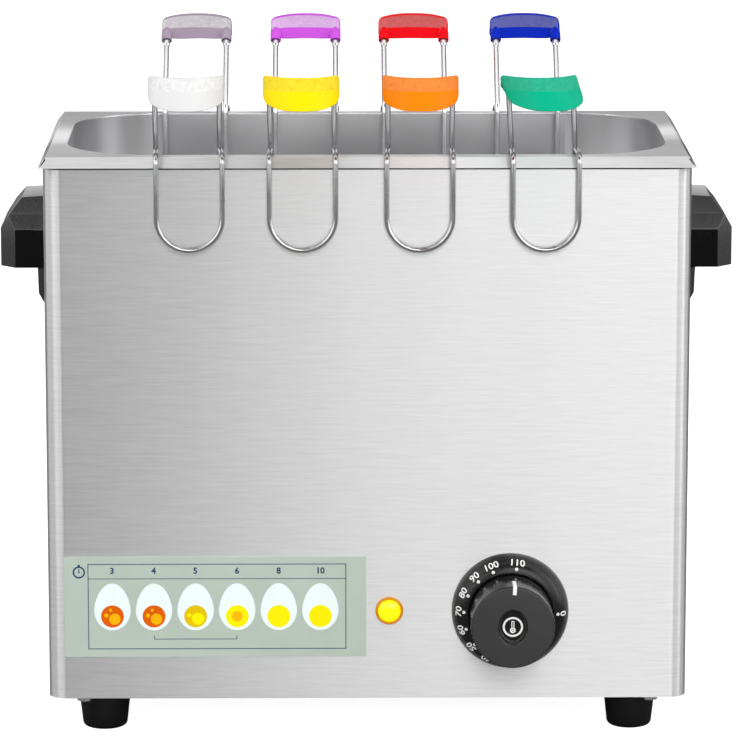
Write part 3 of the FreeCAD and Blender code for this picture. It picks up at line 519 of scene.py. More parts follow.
# %% Sweep a wire
wire = 2.8


def append_curve(bm, curve):
    """Turns a curve into a mesh, adds it to a bmesh and removes the curve."""
    holder = bpy.data.objects.new(curve.name, curve)
    made = bpy.data.meshes.new_from_object(holder)
    bm.from_mesh(made)
    bpy.data.meshes.remove(made)
    bpy.data.objects.remove(holder)
    bpy.data.curves.remove(curve)


def add_wire(bm, points, closed=False):
    curve = bpy.data.curves.new("sweep", "CURVE")
    curve.dimensions = "3D"
    curve.bevel_depth = wire * MM / 2
    curve.bevel_resolution = 4
    curve.use_fill_caps = not closed
    spline = curve.splines.new("POLY")
    spline.points.add(len(points) - 1)
    for knot, point in zip(spline.points, points):
        knot.co = (*point, 1.0)
    spline.use_cyclic_u = closed
    append_curve(bm, curve)


def add_bent_wire(bm, corners, radii, segments=6):
    chain = rounded_chain(corners, radii, segments)
    add_wire(bm, ordered_points(chain))
    chain.free()


print("wire", wire, "mm")

# %% [markdown]
# ## Where the baskets hang
# All eight baskets are one design. Each is made at its own origin, with the rim's top at
# zero height and outward as -y, and is then turned and moved to its row and column. Cooks
# never hang them perfectly straight, so they slide (mm), turn (degrees) or lean a little.

# %% Basket places
rim_top = 298.8
stem_y = 68.4
pitch = 60.0
BASKETS = {
    "white": (-1.5, "front", -0.1, 3.0),
    "yellow": (-0.5, "front", -2.5, 0.0),
    "orange": (0.5, "front", -3.6, -1.0),
    "green": (1.5, "front", -1.7, 1.5),
    "grey": (-1.5, "rear", -0.1, 0.0),
    "purple": (-0.5, "rear", -1.6, 0.0),
    "red": (0.5, "rear", -3.6, 0.0),
    "blue": (1.5, "rear", -3.5, 0.0),
}

# Sideways lean of the wires above the rim; the grip's own skew (outwards, downwards), its
# shift in mm, and how far the rear row's grips tip back.
SWAY = {"green": -0.115, "white": -0.03, "yellow": -0.01}
GRIP_SKEW = {"green": (0.07, 0.11), "white": (-0.04, -0.03)}
GRIP_SHIFT = {"green": -1.5}
rear_tip = math.radians(-5.0)


def hang(bm, colour):
    """Leans the wires above the rim sideways, then moves a piece to its basket's place."""
    for vert in bm.verts:
        vert.co.x += SWAY.get(colour, 0.0) * max(vert.co.z - 0.004, 0.0)
    column, row, slide, turn = BASKETS[colour]
    side = -1 if row == "front" else 1
    half_turn = 0.0 if row == "front" else math.pi
    spin = Matrix.Rotation(math.radians(turn) + half_turn, 4, "Z")
    move = Matrix.Translation(Vector((column * pitch + slide, side * stem_y, rim_top)) * MM)
    bmesh.ops.transform(bm, matrix=move @ spin, verts=bm.verts)
    return bm


print(len(BASKETS), "baskets at a pitch of", pitch, "mm")

# %% [markdown]
# ## Basket frame
# Two long wires come down from the grip, lean inwards over the rim, run down into the water,
# pass under the egg and rise on its far side. A ring holds the egg upright and a cross wire
# carries its weight. Each wire is swept on its own, and they touch where they are welded.

# %% Frame wires
stem_x = 16.0
grip_reach, grip_rise, lean_start = 34.0, 35.6, 4.0
cradle_top, cradle_floor = -78.0, -132.0
ring_radius, ring_y = 26.39, 24.44
wire_in_socket = 1.5
lean = Vector((0.0, -grip_reach, grip_rise)).normalized()
seat = Vector((0.0, -grip_reach, lean_start + grip_rise))


def frame_wires():
    bm = bmesh.new()
    for x in (-stem_x, stem_x):
        top = Vector((x, seat.y, seat.z)) + lean * wire_in_socket
        corners = [
            top, (x, 0, lean_start), (x, 0, cradle_floor),
            (x, 2 * ring_y, cradle_floor), (x, 2 * ring_y, cradle_top + wire),
        ]
        add_bent_wire(bm, corners, [7.0, 13.0, 13.0])
    ring = bmesh.new()
    bmesh.ops.create_circle(ring, cap_ends=False, segments=48, radius=ring_radius * MM)
    lift = Matrix.Translation(Vector((0, ring_y, cradle_top)) * MM)
    add_wire(bm, [lift @ v.co for v in ring.verts], closed=True)
    ring.free()
    low, high = cradle_floor - wire, cradle_top - wire / 2
    rib = [
        (-ring_radius, ring_y, high), (-ring_radius, ring_y, low),
        (ring_radius, ring_y, low), (ring_radius, ring_y, high),
    ]
    add_bent_wire(bm, rib, [7.5, 7.5])
    return bm


for colour in BASKETS:
    finish_piece(
        "wires_" + colour, hang(frame_wires(), colour), "basket_" + colour, "basket_wire",
        ["frame_" + colour], crease=60.0,
    )

# %% [markdown]
# ## Basket hook
# A second wire is welded to both stems, bends over the rim and hangs down outside in a long
# U. It holds the basket at its height. The corner over the rim is tight; the U is one
# half circle, made here as two large rounded corners.

# %% Hooks
hook_y = -(88.0 - stem_y) - wire / 2 - 2.0
hook_x, hook_low, over = 16.5, -46.0, 1.7


def hook_wire():
    bm = bmesh.new()
    leg = -wire - 0.02
    corners = [
        (-stem_x, leg, -9), (-stem_x, leg, over), (-hook_x, hook_y, over),
        (-hook_x, hook_y, hook_low), (hook_x, hook_y, hook_low), (hook_x, hook_y, over),
        (stem_x, leg, over), (stem_x, leg, -9),
    ]
    add_bent_wire(bm, corners, [2.2, 4.0, 16.4, 16.4, 4.0, 2.2], 10)
    return bm


for colour in BASKETS:
    finish_piece(
        "hook_" + colour + "_round", hang(hook_wire(), colour), "basket_" + colour, "basket_wire",
        ["hook_" + colour], [HOOK_STEEL], crease=60.0,
    )

# %% [markdown]
# ## Finger grips
# A grip is a moulded hood, bowed outwards in plan, with a flat crown, a lip that turns down
# in front and an open underside for the fingertips. Its section is drawn once at one end
# and extruded station by station; each station is moved out along the bow. The top, between
# the grain line and the crown and again down to the lip, gets the pad finish, grained and
# lightened with dust and painted sheen.

# %% Grip body
grip_half = 18.8
ridge_reach, bow_reach, lip_reach = 13.0, 13.0, 9.0
crown, lip_low, lip_bow = 5.8, 6.2, 3.5
grain_line = 0.39
end_start, end_length, end_size = 0.91, 0.09, 0.55
half_stations = [0.0, 0.2, 0.4, 0.58, 0.72, 0.83, 0.91, 0.96, 0.988, 1.0]
STATIONS = [-place for place in half_stations[:0:-1]] + half_stations


def bow(place):
    """How far along the bow a place is: 1 in the middle, 0 at the ends, with round shoulders."""
    return 1 - abs(place) ** 2.5


def grip_section(place):
    """Corners of the section, all the way round, at one place from -1 to 1 along the grip."""
    ridge = ridge_reach + bow_reach * bow(place)
    lip, low = ridge + lip_reach, lip_low + lip_bow * (1 - abs(place) ** 3.5)
    outline = [
        (-1.5, -2.4), (ridge * grain_line, 1.2), (ridge - 4.0, crown - 0.5), (ridge + 0.4, crown),
        (ridge + 3.8, crown - 6.4), (lip, -low), (lip - 3.0, -low), (ridge + 0.8, -0.4),
        (ridge - 2.0, crown - 3.2), (ridge * grain_line, -1.8), (1.5, -3.0),
    ]
    past = max(abs(place) - end_start, 0.0) / end_length
    shrink = end_size + (1 - end_size) * math.sqrt(1 - past * past)
    middle_out, middle_up = ridge * 0.6, 0.6
    points = []
    for out, up in outline:
        out = middle_out + (out - middle_out) * (0.25 + 0.75 * shrink)
        up = middle_up + (up - middle_up) * shrink
        points.append(Vector((place * grip_half, seat.y - out, seat.z + up)) * MM)
    return points


def grip_body():
    bm = bmesh.new()
    cap = bm.faces.new([bm.verts.new(p) for p in grip_section(STATIONS[0])])
    for place in STATIONS[1:]:
        grown = bmesh.ops.extrude_face_region(bm, geom=[cap])
        if place != STATIONS[1]:
            bmesh.ops.delete(bm, geom=[cap], context="FACES_ONLY")
        cap = next(f for f in grown["geom"] if isinstance(f, bmesh.types.BMFace))
        for vert, target in zip(cap.verts, grip_section(place)):
            vert.co = target
    bmesh.ops.recalc_face_normals(bm, faces=bm.faces)
    folds = [
        e for e in bm.edges
        if e.calc_face_angle(0.0) > math.radians(28)
        and abs(e.verts[0].co.x - e.verts[1].co.x) > 0.5 * MM
    ]
    round_off(bm, folds, 1.1 * MM, 3)
    return bm


def on_pad(face):
    """True on the top of the hood, where the finger pulls."""
    middle = face.calc_center_median() / MM
    out, up = seat.y - middle.y, middle.z - seat.z
    place = middle.x / grip_half
    ridge = ridge_reach + bow_reach * bow(place)
    inner = ridge * grain_line < out < ridge - 3.9
    outer = ridge + 0.3 < out < ridge + 3.8
    return abs(place) < 0.97 and (inner or outer) and up > -0.5 and face.normal.z > 0.2


def faces_down_in_shade(face):
    """True on the underside and round the lip's lower edge, where shade is painted."""
    return face.normal.z < -0.35


trial = grip_body()
print("grip", len(trial.faces), "faces, pad", sum(on_pad(f) for f in trial.faces))
trial.free()

# %% [markdown]
# ## Sockets and ferrules
# The stems end in two short sockets under the hood's inner edge, and a polished ferrule
# closes each socket where the wire enters. Both are turned shapes: a short profile is spun
# round the stem's own leaning line. Then each grip is skewed or tipped as its basket hangs.

# %% Turned shapes
def spun(bm, profile, centre, axis, start, radii, steps, segments=3):
    """Adds a profile of (radius, along) pairs, spun round an axis through a centre."""
    axis, start, centre = Vector(axis).normalized(), Vector(start).normalized(), Vector(centre)
    corners = [centre + start * radius + axis * along for radius, along in profile]
    line = rounded_chain(corners, radii or [0.0] * (len(corners) - 2), segments)
    bmesh.ops.spin(
        line, geom=line.verts[:] + line.edges[:], cent=centre * MM, axis=axis,
        dvec=(0, 0, 0), angle=2 * math.pi, steps=steps, use_merge=True, use_duplicate=False,
    )
    bmesh.ops.remove_doubles(line, verts=line.verts, dist=1e-7)
    bmesh.ops.recalc_face_normals(line, faces=line.faces)
    append_bmesh(bm, line)


SIDEWAYS = Vector((1.0, 0.0, 0.0))
SOCKET = [
    (1.42, 3.4), (2.15, 3.2), (2.15, 0.0), (2.85, 0.0), (2.85, 4.6), (1.3, 8.4), (0, 8.8),
]
FERRULE = [(1.42, 1.6), (1.75, 1.2), (1.75, -2.8), (1.42, -3.8)]
SOCKET_FEET = [Vector((x, seat.y, seat.z)) - lean * 5.0 for x in (-stem_x, stem_x)]
for colour in BASKETS:
    grip = grip_body()
    # Finish 1 is the pad, lightened with dust and painted sheen; finish 2 is painted shade on
    # faces that look down.
    for face in grip.faces:
        face.material_index = 1 if on_pad(face) else 2 if faces_down_in_shade(face) else 0
    outwards, downwards = GRIP_SKEW.get(colour, (0.0, 0.0))
    for vert in grip.verts:
        vert.co.x += outwards * (seat.y * MM - vert.co.y) + downwards * (seat.z * MM - vert.co.z)
        vert.co.x += GRIP_SHIFT.get(colour, 0.0) * MM
    if BASKETS[colour][1] == "rear":
        tip = Matrix.Rotation(rear_tip, 4, "X")
        bmesh.ops.rotate(grip, verts=grip.verts, cent=seat * MM, matrix=tip)
    for foot in SOCKET_FEET:
        spun(grip, SOCKET, foot, lean, SIDEWAYS, [0, 0.2, 0.2, 1.8, 0.6], 24)
    finish_piece(
        "grip_" + colour + "_moulded", hang(grip, colour), "basket_" + colour, "grip_" + colour,
        ["grip_" + colour], [FINISH["grip_" + colour], PAD[colour], UNDERSIDE_SHADE[colour]], crease=38.0,
    )
    ferrules = bmesh.new()
    for foot in SOCKET_FEET:
        spun(ferrules, FERRULE, foot, lean, SIDEWAYS, [0.2, 0.4], 24)
    hang(ferrules, colour)
    finish_piece("ferrules_" + colour, ferrules, "basket_" + colour, "basket_wire")

# %% [markdown]
# ## Number ring
# The thermostat's number ring is a black domed collar fixed to the panel, with the knob
# turning inside it. Its section is a quarter of an ellipse from the brim to the bore, spun
# round the knob's axis.

# %% Dome of the number ring
front = -86.0
knob_centre = Vector((72.4, front, 66.5))
OUTWARD = Vector((0.0, -1.0, 0.0))
UPWARD = Vector((0.0, 0.0, 1.0))
ring_bore, ring_brim, ring_height, brim_edge = 21.8, 29.7, 10.8, 0.8


def dome_point(turn):
    """Radius and height on the dome; 0 is at the brim and a quarter turn at the bore."""
    swell, rise = ring_brim - ring_bore, ring_height - brim_edge
    return ring_bore + swell * math.cos(turn), brim_edge + rise * math.sin(turn)


DOME = [dome_point(math.pi / 2 * k / 16) for k in range(17)]
dial = bmesh.new()
back = [(5.8, 1.6), (5.8, 0.0), (ring_brim, 0.0)]
well = [(ring_bore - 0.02, 1.6), (5.8, 1.6)]
spun(dial, back + DOME + well, knob_centre, OUTWARD, UPWARD, None, 96)
finish_piece("number_ring", dial, "root", "dial_plastic", ["dial_ring"], crease=45.0)

# %% [markdown]
# ## Numbers on a dome
# Text starts as a flat curve and becomes a mesh before it is placed. Each vertex then takes
# its height in the text as a distance along the dome's section, and its width as an angle,
# so the figures lie on the dome as pad printing would leave them.

# %% Flat figures
def flat_text(words, size, weight=0.018):
    curve = bpy.data.curves.new("figures", "FONT")
    curve.body = words
    curve.size = size * MM
    curve.align_x = "CENTER"
    curve.align_y = "CENTER"
    curve.resolution_u = 3
    curve.offset = weight * size * MM
    bm = bmesh.new()
    append_curve(bm, curve)
    bmesh.ops.triangulate(bm, faces=bm.faces)
    return bm


FROM_BORE = DOME[::-1]
DOME_LENGTH = [0.0]
for near, far in zip(FROM_BORE, FROM_BORE[1:]):
    DOME_LENGTH.append(DOME_LENGTH[-1] + math.dist(near, far))


def on_dome(x, up, angle, lift):
    """A point of flat print at (x, up) mm, printed round an angle, up measured from the bore."""
    place = min(max(up, 0.0), DOME_LENGTH[-1] - 1e-6)
    k = max(i for i, length in enumerate(DOME_LENGTH[:-1]) if length <= place)
    near, far = FROM_BORE[k], FROM_BORE[k + 1]
    share = (place - DOME_LENGTH[k]) / (DOME_LENGTH[k + 1] - DOME_LENGTH[k])
    radius = near[0] + (far[0] - near[0]) * share
    along = near[1] + (far[1] - near[1]) * share
    slope = Vector((far[0] - near[0], far[1] - near[1])).normalized()
    radius, along = radius - slope.y * lift, along + slope.x * lift
    turn = angle + x / radius
    spoke = Vector((math.sin(turn), 0.0, math.cos(turn)))
    return (knob_centre + spoke * radius + OUTWARD * along) * MM


FIGURES = {
    "110": 6.7, "100": -22.2, "90": -43.8, "80": -65.4, "70": -86.6, "60": -108.2,
    "50": -130.2, "40": -152.0, "30": -174.0, "0": 89.3,
}
figure_size, figure_up, dot_up, dot_radius, ink_lift = 5.4, 5.2, 2.1, 0.85, 0.07
printed = bmesh.new()
for figure, degrees in FIGURES.items():
    angle = math.radians(degrees)
    word = flat_text(figure, figure_size)
    up = figure_up + 0.5 * math.cos(angle)
    long_edges = [e for e in word.edges if e.calc_length() > 0.6 * MM]
    bmesh.ops.subdivide_edges(word, edges=long_edges, cuts=2)
    bmesh.ops.triangulate(word, faces=word.faces)
    for vert in word.verts:
        vert.co = on_dome(vert.co.x / MM, up + vert.co.y / MM, angle, ink_lift)
    append_bmesh(printed, word)
    dot = bmesh.new()
    bmesh.ops.create_circle(dot, cap_ends=True, cap_tris=True, segments=20, radius=dot_radius)
    for vert in dot.verts:
        vert.co = on_dome(vert.co.x, dot_up + vert.co.y, angle, ink_lift)
    append_bmesh(printed, dot)
bmesh.ops.recalc_face_normals(printed, faces=printed.faces)
facing = sum(f.normal.dot(OUTWARD) * f.calc_area() for f in printed.faces)
if facing < 0:
    bmesh.ops.reverse_faces(printed, faces=printed.faces)
finish_piece(
    "ring_figures", printed, "root", "dial_plastic", finishes=[INK["white"]], outwards=False
)

# %% [markdown]
# ## Knob
# The knob is a plain barrel with a rounded cap edge. Its badge is a round insert, pressed in
# flush, with an oval dish moulded into it. The insert starts as a disc with many rings, and
# the dish is pushed in where a point lies inside the oval.

# %% Knob barrel
cap, recess = 37.0, 3.0
knob_radius, badge_radius = 21.0, 11.0
barrel = bmesh.new()
spun(
    barrel,
    [(0, 2.4), (20.6, 2.4), (knob_radius, 12.0), (knob_radius, cap), (badge_radius, cap),
     (badge_radius, cap - recess), (0, cap - recess)],
    knob_centre, OUTWARD, UPWARD, [0.4, 4.0, 1.1, 0.0, 0.0], 96, 5,
)
for face in barrel.faces:
    face.material_index = 0 if abs(face.normal.y) > 0.8 else 1
KNOB_FINISHES = [FINISH["knob_plastic"], KNOB_SIDE]
finish_piece(
    "knob_barrel", barrel, "knob", "knob_plastic", ["control_knob"], KNOB_FINISHES, crease=50.0
)

# %% Badge with its dish
oval_width, oval_height, dish_depth, dish_edge = 15.2, 19.2, 2.0, 1.9


def dish(x, z):
    """How deep the badge is pushed in at a place from its middle."""
    narrow, tall = oval_width / 2, oval_height / 2
    inside = narrow * (1 - math.hypot(x / narrow, z / tall))
    share = min(max(inside / dish_edge, 0.0), 1.0)
    return dish_depth * share * share * (3 - 2 * share)


badge = bmesh.new()
RINGS = [(badge_radius * k / 44, cap) for k in range(44, -1, -1)]
spun(badge, [(badge_radius, cap - 1.7)] + RINGS, knob_centre, OUTWARD, UPWARD, None, 120)
for vert in badge.verts:
    offset = vert.co / MM - knob_centre
    if -offset.y > cap - 0.2:
        vert.co.y += dish(offset.x, offset.z) * MM
for face in badge.faces:
    middle = face.calc_center_median() / MM - knob_centre
    face.material_index = 1 if dish(middle.x, middle.z) > 0.02 else 0
finish_piece(
    "badge_insert", badge, "knob", "badge_print", ["knob_badge"], KNOB_FINISHES, crease=60.0
)

# %% [markdown]
# ## Badge sign and pointer
# The sign is a white ring with a little thermometer: a bulb and a stem. It is flat artwork
# laid just above the dish. The pointer is a white strip down the barrel's side and across
# the cap; its path follows the barrel's edge, so it is a chain extruded sideways.

# %% Flat artwork helpers
def flat_ring(bm, outer, inner, segments=64, centre=(0.0, 0.0)):
    loops = set()
    for radius in (outer, inner):
        made = bmesh.ops.create_circle(bm, cap_ends=False, segments=segments, radius=radius)
        bmesh.ops.translate(bm, verts=made["verts"], vec=(*centre, 0.0))
        loops |= {e for v in made["verts"] for e in v.link_edges}
    bmesh.ops.bridge_loops(bm, edges=list(loops))


def flat_disc(bm, radius, segments, centre=(0.0, 0.0)):
    made = bmesh.ops.create_circle(bm, cap_ends=True, segments=segments, radius=radius)
    bmesh.ops.translate(bm, verts=made["verts"], vec=(*centre, 0.0))
    return made["verts"]


def flat_bar(bm, low, high):
    made = bmesh.ops.create_grid(bm, x_segments=1, y_segments=1, size=0.5)
    size = (high[0] - low[0], high[1] - low[1], 1.0)
    bmesh.ops.scale(bm, verts=made["verts"], vec=size)
    middle = ((low[0] + high[0]) / 2, (low[1] + high[1]) / 2, 0.0)
    bmesh.ops.translate(bm, verts=made["verts"], vec=middle)


def lay_on_front(bm, x, y, z):
    """Stands flat artwork, drawn in mm, upright on a plane that faces the front."""
    bmesh.ops.recalc_face_normals(bm, faces=bm.faces)
    down = [f for f in bm.faces if f.normal.z < 0]
    bmesh.ops.reverse_faces(bm, faces=down)
    place = Matrix.Translation(Vector((x, y, z)) * MM)
    stand = Matrix.Rotation(math.pi / 2, 4, "X") @ Matrix.Scale(MM, 4)
    bmesh.ops.transform(bm, matrix=place @ stand, verts=bm.verts)
    return bm


sign_lift = 0.06
sign = bmesh.new()
flat_ring(sign, 5.1, 4.1)
flat_ring(sign, 1.45, 0.75, 32, (0.0, -1.75))
flat_bar(sign, (-0.75, -0.6), (-0.3, 2.6))
flat_bar(sign, (0.3, -0.6), (0.75, 2.6))
flat_bar(sign, (-0.75, 2.55), (0.75, 3.0))
flat_disc(sign, 0.5, 20, (0.0, -1.75))
bmesh.ops.subdivide_edges(sign, edges=[e for e in sign.edges if e.calc_length() > 1.2], cuts=3)
lay_on_front(sign, knob_centre.x, front - cap - sign_lift, knob_centre.z)
for vert in sign.verts:
    offset = vert.co / MM - knob_centre
    vert.co.y += dish(offset.x, offset.z) * MM
finish_piece("badge_sign", sign, "knob", "badge_print", finishes=[INK["white"]], outwards=False)

# %% Pointer strip
proud, strip_width, strip_start, strip_end = 0.08, 1.9, 12.5, 16.9
edge_path = [
    (knob_radius + proud, cap - strip_start), (knob_radius + proud, cap + proud),
    (strip_end, cap + proud),
]
corners = [knob_centre + UPWARD * radius + OUTWARD * along for radius, along in edge_path]
strip_line = rounded_chain(corners, [1.15], 6)
strip = bmesh.new()
append_bmesh(strip, strip_line)
bmesh.ops.translate(strip, verts=strip.verts, vec=(-strip_width / 2 * MM, 0, 0))
pull_edges(strip, (strip_width * MM, 0, 0))
bmesh.ops.recalc_face_normals(strip, faces=strip.faces)
if strip.faces[0].normal.z < 0:
    bmesh.ops.reverse_faces(strip, faces=strip.faces)
pointer_turn = Matrix.Rotation(math.radians(2.5), 4, "Y")
bmesh.ops.rotate(strip, verts=strip.verts, cent=knob_centre * MM, matrix=pointer_turn)
finish_piece(
    "pointer_strip", strip, "knob", "knob_plastic", finishes=[INK["white"]], outwards=False
)

# %% [markdown]
# ## Pilot lamp
# The lamp is an amber bezel with a low yellow dome. The dome is a short arc spun round the
# lamp's axis, so that it has a true highlight, and the bezel is a small turned ring.

# %% Lamp
lamp_centre = Vector((11.0, front, 66.4))
bezel = bmesh.new()
bezel_section = [
    (5.9, 0.4), (5.9, 1.6), (6.4, 2.0), (7.1, 1.2), (7.1, 0.0), (5.0, 0.0), (5.0, -25.9),
    (0, -25.9),
]
spun(bezel, bezel_section, lamp_centre, OUTWARD, UPWARD, [0.0, 0.3, 0.4, 0.3, 0, 0, 0], 64)
finish_piece("lamp_bezel", bezel, "root", "amber_plastic", ["lamp_body"], crease=50.0)
lens_radius, lens_edge, lens_rise = 5.8, 0.9, 2.1
quarter = [math.pi / 2 * k / 10 for k in range(11)]
lens_arc = [(lens_radius * math.cos(t), lens_edge + lens_rise * math.sin(t)) for t in quarter]
dome = bmesh.new()
spun(dome, [(0, 0.4), (lens_radius, 0.4)] + lens_arc, lamp_centre, OUTWARD, UPWARD, None, 64)
finish_piece("lamp_dome", dome, "root", "lamp_lens", ["lamp_lens"], crease=60.0)

# %% [markdown]
# ## Cooking chart
# The chart is a printed film on the lower left of the panel: a thin ruled frame, six eggs
# from soft to hard, and the minutes above them. The prints are flat shapes a few hundredths
# of a millimetre above the film. An egg is a circle whose upper half is stretched.

# %% Chart artwork
film_face = front - 0.3
EGG_X = [-129.6 + 21.12 * k for k in range(6)]
egg_middle, egg_half, egg_up, egg_down = 66.9, 9.25, 13.9, 10.6
yolk_z, yolk_radius = 63.6, 5.8
egg_pinch = 0.10


def print_on_film(name, bm, ink, lift):
    lay_on_front(bm, 0.0, film_face - lift, 0.0)
    finish_piece(name, bm, "root", "chart_print", finishes=[INK[ink]], outwards=False)


eggs = bmesh.new()
for x in EGG_X:
    shell = flat_disc(eggs, egg_half, 72)
    for vert in shell:
        tall = egg_up if vert.co.y > 0 else egg_down
        pinch = 1 - egg_pinch * max(vert.co.y / egg_half, 0.0)
        vert.co = Vector((vert.co.x * pinch + x, vert.co.y * tall / egg_half + egg_middle, 0.0))
print_on_film("chart_eggs", eggs, "egg_white", 0.04)

YOLKS = ["yolk_orange", "yolk_orange", "yolk_amber", "yolk_yellow", "yolk_yellow", "yolk_yellow"]
for ink in ("yolk_orange", "yolk_amber", "yolk_yellow"):
    yolks = bmesh.new()
    for x, kind in zip(EGG_X, YOLKS):
        if kind == ink:
            flat_disc(yolks, yolk_radius, 48, (x, yolk_z))
    print_on_film("chart_" + ink, yolks, ink, 0.08)
soft = bmesh.new()
for x in EGG_X[:2]:
    flat_disc(soft, 2.9, 28, (x + 1.2, yolk_z - 1.4))
    flat_disc(soft, 1.1, 20, (x - 3.1, yolk_z + 0.5))
    flat_disc(soft, 0.8, 16, (x - 0.9, yolk_z + 3.3))
flat_disc(soft, 2.7, 28, (EGG_X[3], yolk_z))
print_on_film("chart_soft_yolks", soft, "yolk_soft", 0.11)
pale = bmesh.new()
flat_disc(pale, 3.2, 28, (EGG_X[2] + 1.2, yolk_z - 1.3))
flat_disc(pale, 1.1, 20, (EGG_X[2] - 3.3, yolk_z + 0.6))
print_on_film("chart_pale_yolk", pale, "yolk_yellow", 0.11)

# %% Chart ruling and figures
left, right, low, high, rule = -142.0, -10.8, 46.4, 91.0, 83.4
ruling = bmesh.new()
for bar_low, bar_high in (
    ((left, high - 0.5), (right, high)), ((left, low), (right, low + 0.5)),
    ((left, low), (left + 0.5, high)), ((right - 0.5, low), (right, high)),
    ((left, rule - 0.4), (right, rule)),
    ((EGG_X[1], 51.5), (EGG_X[3], 51.9)), ((EGG_X[1], 51.5), (EGG_X[1] + 0.4, 53.6)),
    ((EGG_X[3] - 0.4, 51.5), (EGG_X[3], 53.6)),
):
    flat_bar(ruling, bar_low, bar_high)
print_on_film("chart_ruling", ruling, "line", 0.04)

minutes = bmesh.new()
for x, count in zip(EGG_X, ("3", "4", "5", "6", "8", "10")):
    word = flat_text(count, 4.4, 0.03)
    bmesh.ops.scale(word, verts=word.verts, vec=(1 / MM, 1 / MM, 1.0))
    bmesh.ops.translate(word, verts=word.verts, vec=(x, 87.2, 0.0))
    append_bmesh(minutes, word)
flat_ring(minutes, 3.15, 2.35, 40, (-146.4, 86.6))
flat_bar(minutes, (-147.0, 89.5), (-145.8, 90.6))
flat_bar(minutes, (-146.6, 86.4), (-146.2, 88.4))
flat_disc(minutes, 0.45, 16, (-146.4, 86.6))
print_on_film("chart_minutes", minutes, "blue", 0.04)

# %% [markdown]
# ## Feet and cable gland
# Small round parts are flat-sided in the model, to keep it light. Here they are turned
# again, smooth. A foot is a tapered rubber cup with a soft lower edge and a deep recess for
# its screw; the gland is a hexagon body with a domed nut.

# %% Rubber feet
feet = bmesh.new()
for x in (-135.0, 135.0):
    for y in (-61.0, 61.0):
        spun(
            feet, [(4.0, 10.0), (4.6, 0.0), (11.25, 0.0), (13.5, 20.5), (4.0, 20.5), (4.0, 10.0)],
            (x, y, 0.0), UPWARD, SIDEWAYS, [0.8, 2.6, 0.8, 0, 0], 48, 5,
        )
finish_piece("turned_feet", feet, "root", "foot_rubber", ["rubber_feet"], crease=50.0)

# %% Cable gland
gland_centre = Vector((110.0, 86.0, 52.0))
BACKWARD = -OUTWARD
gland = bmesh.new()
hexagon, thick = 13.85 * MM, 8.0
bmesh.ops.create_cone(
    gland, cap_ends=True, segments=6, radius1=hexagon, radius2=hexagon, depth=thick * MM
)
level = Matrix.Rotation(math.pi / 2, 4, "X")
bmesh.ops.rotate(gland, verts=gland.verts, cent=(0, 0, 0), matrix=level)
middle = (gland_centre + BACKWARD * thick / 2) * MM
bmesh.ops.translate(gland, verts=gland.verts, vec=middle)
corners = [e for e in gland.edges if e.calc_face_angle(0.0) > 0.5]
round_off(gland, corners, 0.6 * MM, 2)
gland_section = [
    (4.5, -6.7), (10.0, -6.7), (10.0, 8.0), (12.0, 8.0), (12.0, 20.0), (7.2, 32.0), (4.5, 32.0),
    (4.5, -6.7),
]
spun(gland, gland_section, gland_centre, BACKWARD, UPWARD, [0, 0, 0.3, 3.0, 1.5, 0.6], 48, 5)
finish_piece("turned_gland", gland, "root", "dark_plastic", ["cable_gland"], crease=40.0)

# %% [markdown]
# ## Floor, sky and lamps
# The table runs out of sight and turns white for the camera, yet takes the boiler's shadow.
# In reflections the table and the sky are a dim grey, so that steel shows the lamps. A far
# box in front on the right turns the panel from grey to bright. Two nearer boxes and two at
# the sides light the corners and the knob, three overhead light the rim, the grips and the
# tank, and one stands behind.

# %% Floor
def ray_share(tree, camera_value, glossy_value, other_value):
    """A number that depends on what kind of ray looks: the camera's, a reflection, or light."""
    rays = tree.nodes.new("ShaderNodeLightPath")
    result = None
    for flag, value in (("Is Glossy Ray", glossy_value), ("Is Camera Ray", camera_value)):
        choice = tree.nodes.new("ShaderNodeMix")
        choice.inputs["A"].default_value = other_value
        choice.inputs["B"].default_value = value
        tree.links.new(rays.outputs[flag], choice.inputs["Factor"])
        if result:
            tree.links.new(result, choice.inputs["A"])
        result = choice.outputs["Result"]
    return result


floor_bm = bmesh.new()
bmesh.ops.create_grid(floor_bm, x_segments=1, y_segments=1, size=30.0)
floor_mesh = bpy.data.meshes.new("floor")
floor_bm.to_mesh(floor_mesh)
floor_bm.free()
floor = bpy.data.objects.new("floor", floor_mesh)
scene.collection.objects.link(floor)
floor_finish, floor_tree, floor_shader = start_material(
    "pale_table", Roughness=0.9, Specular_IOR_Level=0.0, Emission_Color=(1.0, 1.0, 1.0, 1.0)
)
table_grain = stretched_noise(floor_tree, (3.0,) * 3)
table_tone = shade_between(floor_tree, table_grain, (0.66, 0.66, 0.66), (0.70, 0.70, 0.70))
dimmed = floor_tree.nodes.new("ShaderNodeVectorMath")
dimmed.operation = "SCALE"
floor_tree.links.new(table_tone, dimmed.inputs[0])
floor_tree.links.new(ray_share(floor_tree, 1.0, 0.40, 0.80), dimmed.inputs["Scale"])
floor_tree.links.new(dimmed.outputs["Vector"], floor_shader.inputs["Base Color"])
table_glow = ray_share(floor_tree, 0.92, 0.0, 0.0)
floor_tree.links.new(table_glow, floor_shader.inputs["Emission Strength"])
floor_mesh.materials.append(floor_finish)
print("floor", floor.dimensions[:2])

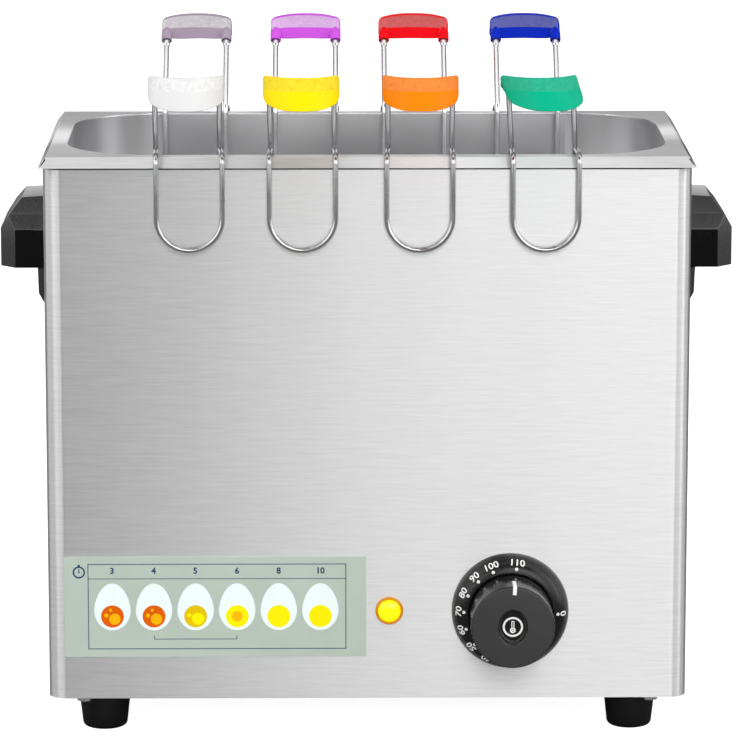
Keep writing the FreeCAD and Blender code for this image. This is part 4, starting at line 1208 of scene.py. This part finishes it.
# %% Sky
world = bpy.data.worlds.new("studio")
scene.world = world
world.use_nodes = True
sky_tree = world.node_tree
backdrop = sky_tree.nodes["Background"]
backdrop.inputs["Color"].default_value = (1.0, 1.0, 1.0, 1.0)
sky_tree.links.new(ray_share(sky_tree, 1.0, 0.27, 0.24), backdrop.inputs["Strength"])
print("sky set")


# %% Lamps
def soft_lamp(name, place, aim, size, brightness):
    """A rectangular softbox; brightness 1 looks white in a mirror."""
    light = bpy.data.lights.new(name, "AREA")
    light.shape = "RECTANGLE"
    light.size, light.size_y = size
    light.energy = brightness * math.pi * size[0] * size[1]
    lamp = bpy.data.objects.new(name, light)
    lamp.location = place
    lamp.rotation_euler = (Vector(aim) - Vector(place)).to_track_quat("-Z", "Y").to_euler()
    lamp.visible_camera = False
    scene.collection.objects.link(lamp)


AIM_LOW, AIM_MIDDLE, AIM_HIGH = (0.0, 0.0, 0.2), (0.0, 0.0, 0.25), (0.0, 0.0, 0.3)
LAMPS = {
    # name: (place, aim, size, brightness)
    "front_box": ((1.66, -6.50, 2.2), (1.66, 0.0, 2.2), (3.8, 4.4), 3.1),
    "left_box": ((-1.42, -1.81, 0.9), AIM_MIDDLE, (2.2, 1.7), 1.65),
    "right_box": ((1.93, -1.25, 0.9), AIM_MIDDLE, (2.3, 1.7), 1.45),
    "left_side_box": ((-2.4, 0.05, 0.8), AIM_HIGH, (2.5, 1.6), 1.1),
    "right_side_box": ((2.4, 0.05, 0.8), AIM_HIGH, (2.5, 1.6), 1.0),
    "upper_left_box": ((-1.2, -0.5, 1.7), AIM_LOW, (1.0, 1.1), 1.5),
    "upper_right_box": ((1.2, -0.5, 1.7), AIM_LOW, (1.0, 1.1), 1.4),
    "overhead_box": ((0.0, -0.3, 1.9), AIM_LOW, (1.5, 1.0), 0.95),
    "back_box": ((-0.8, 3.2, 0.9), AIM_HIGH, (3.2, 1.2), 0.75),
}
for name, (place, aim, size, brightness) in LAMPS.items():
    soft_lamp(name, place, aim, size, brightness)
scene.view_settings.view_transform = "Standard"
print(len(LAMPS), "lamps")
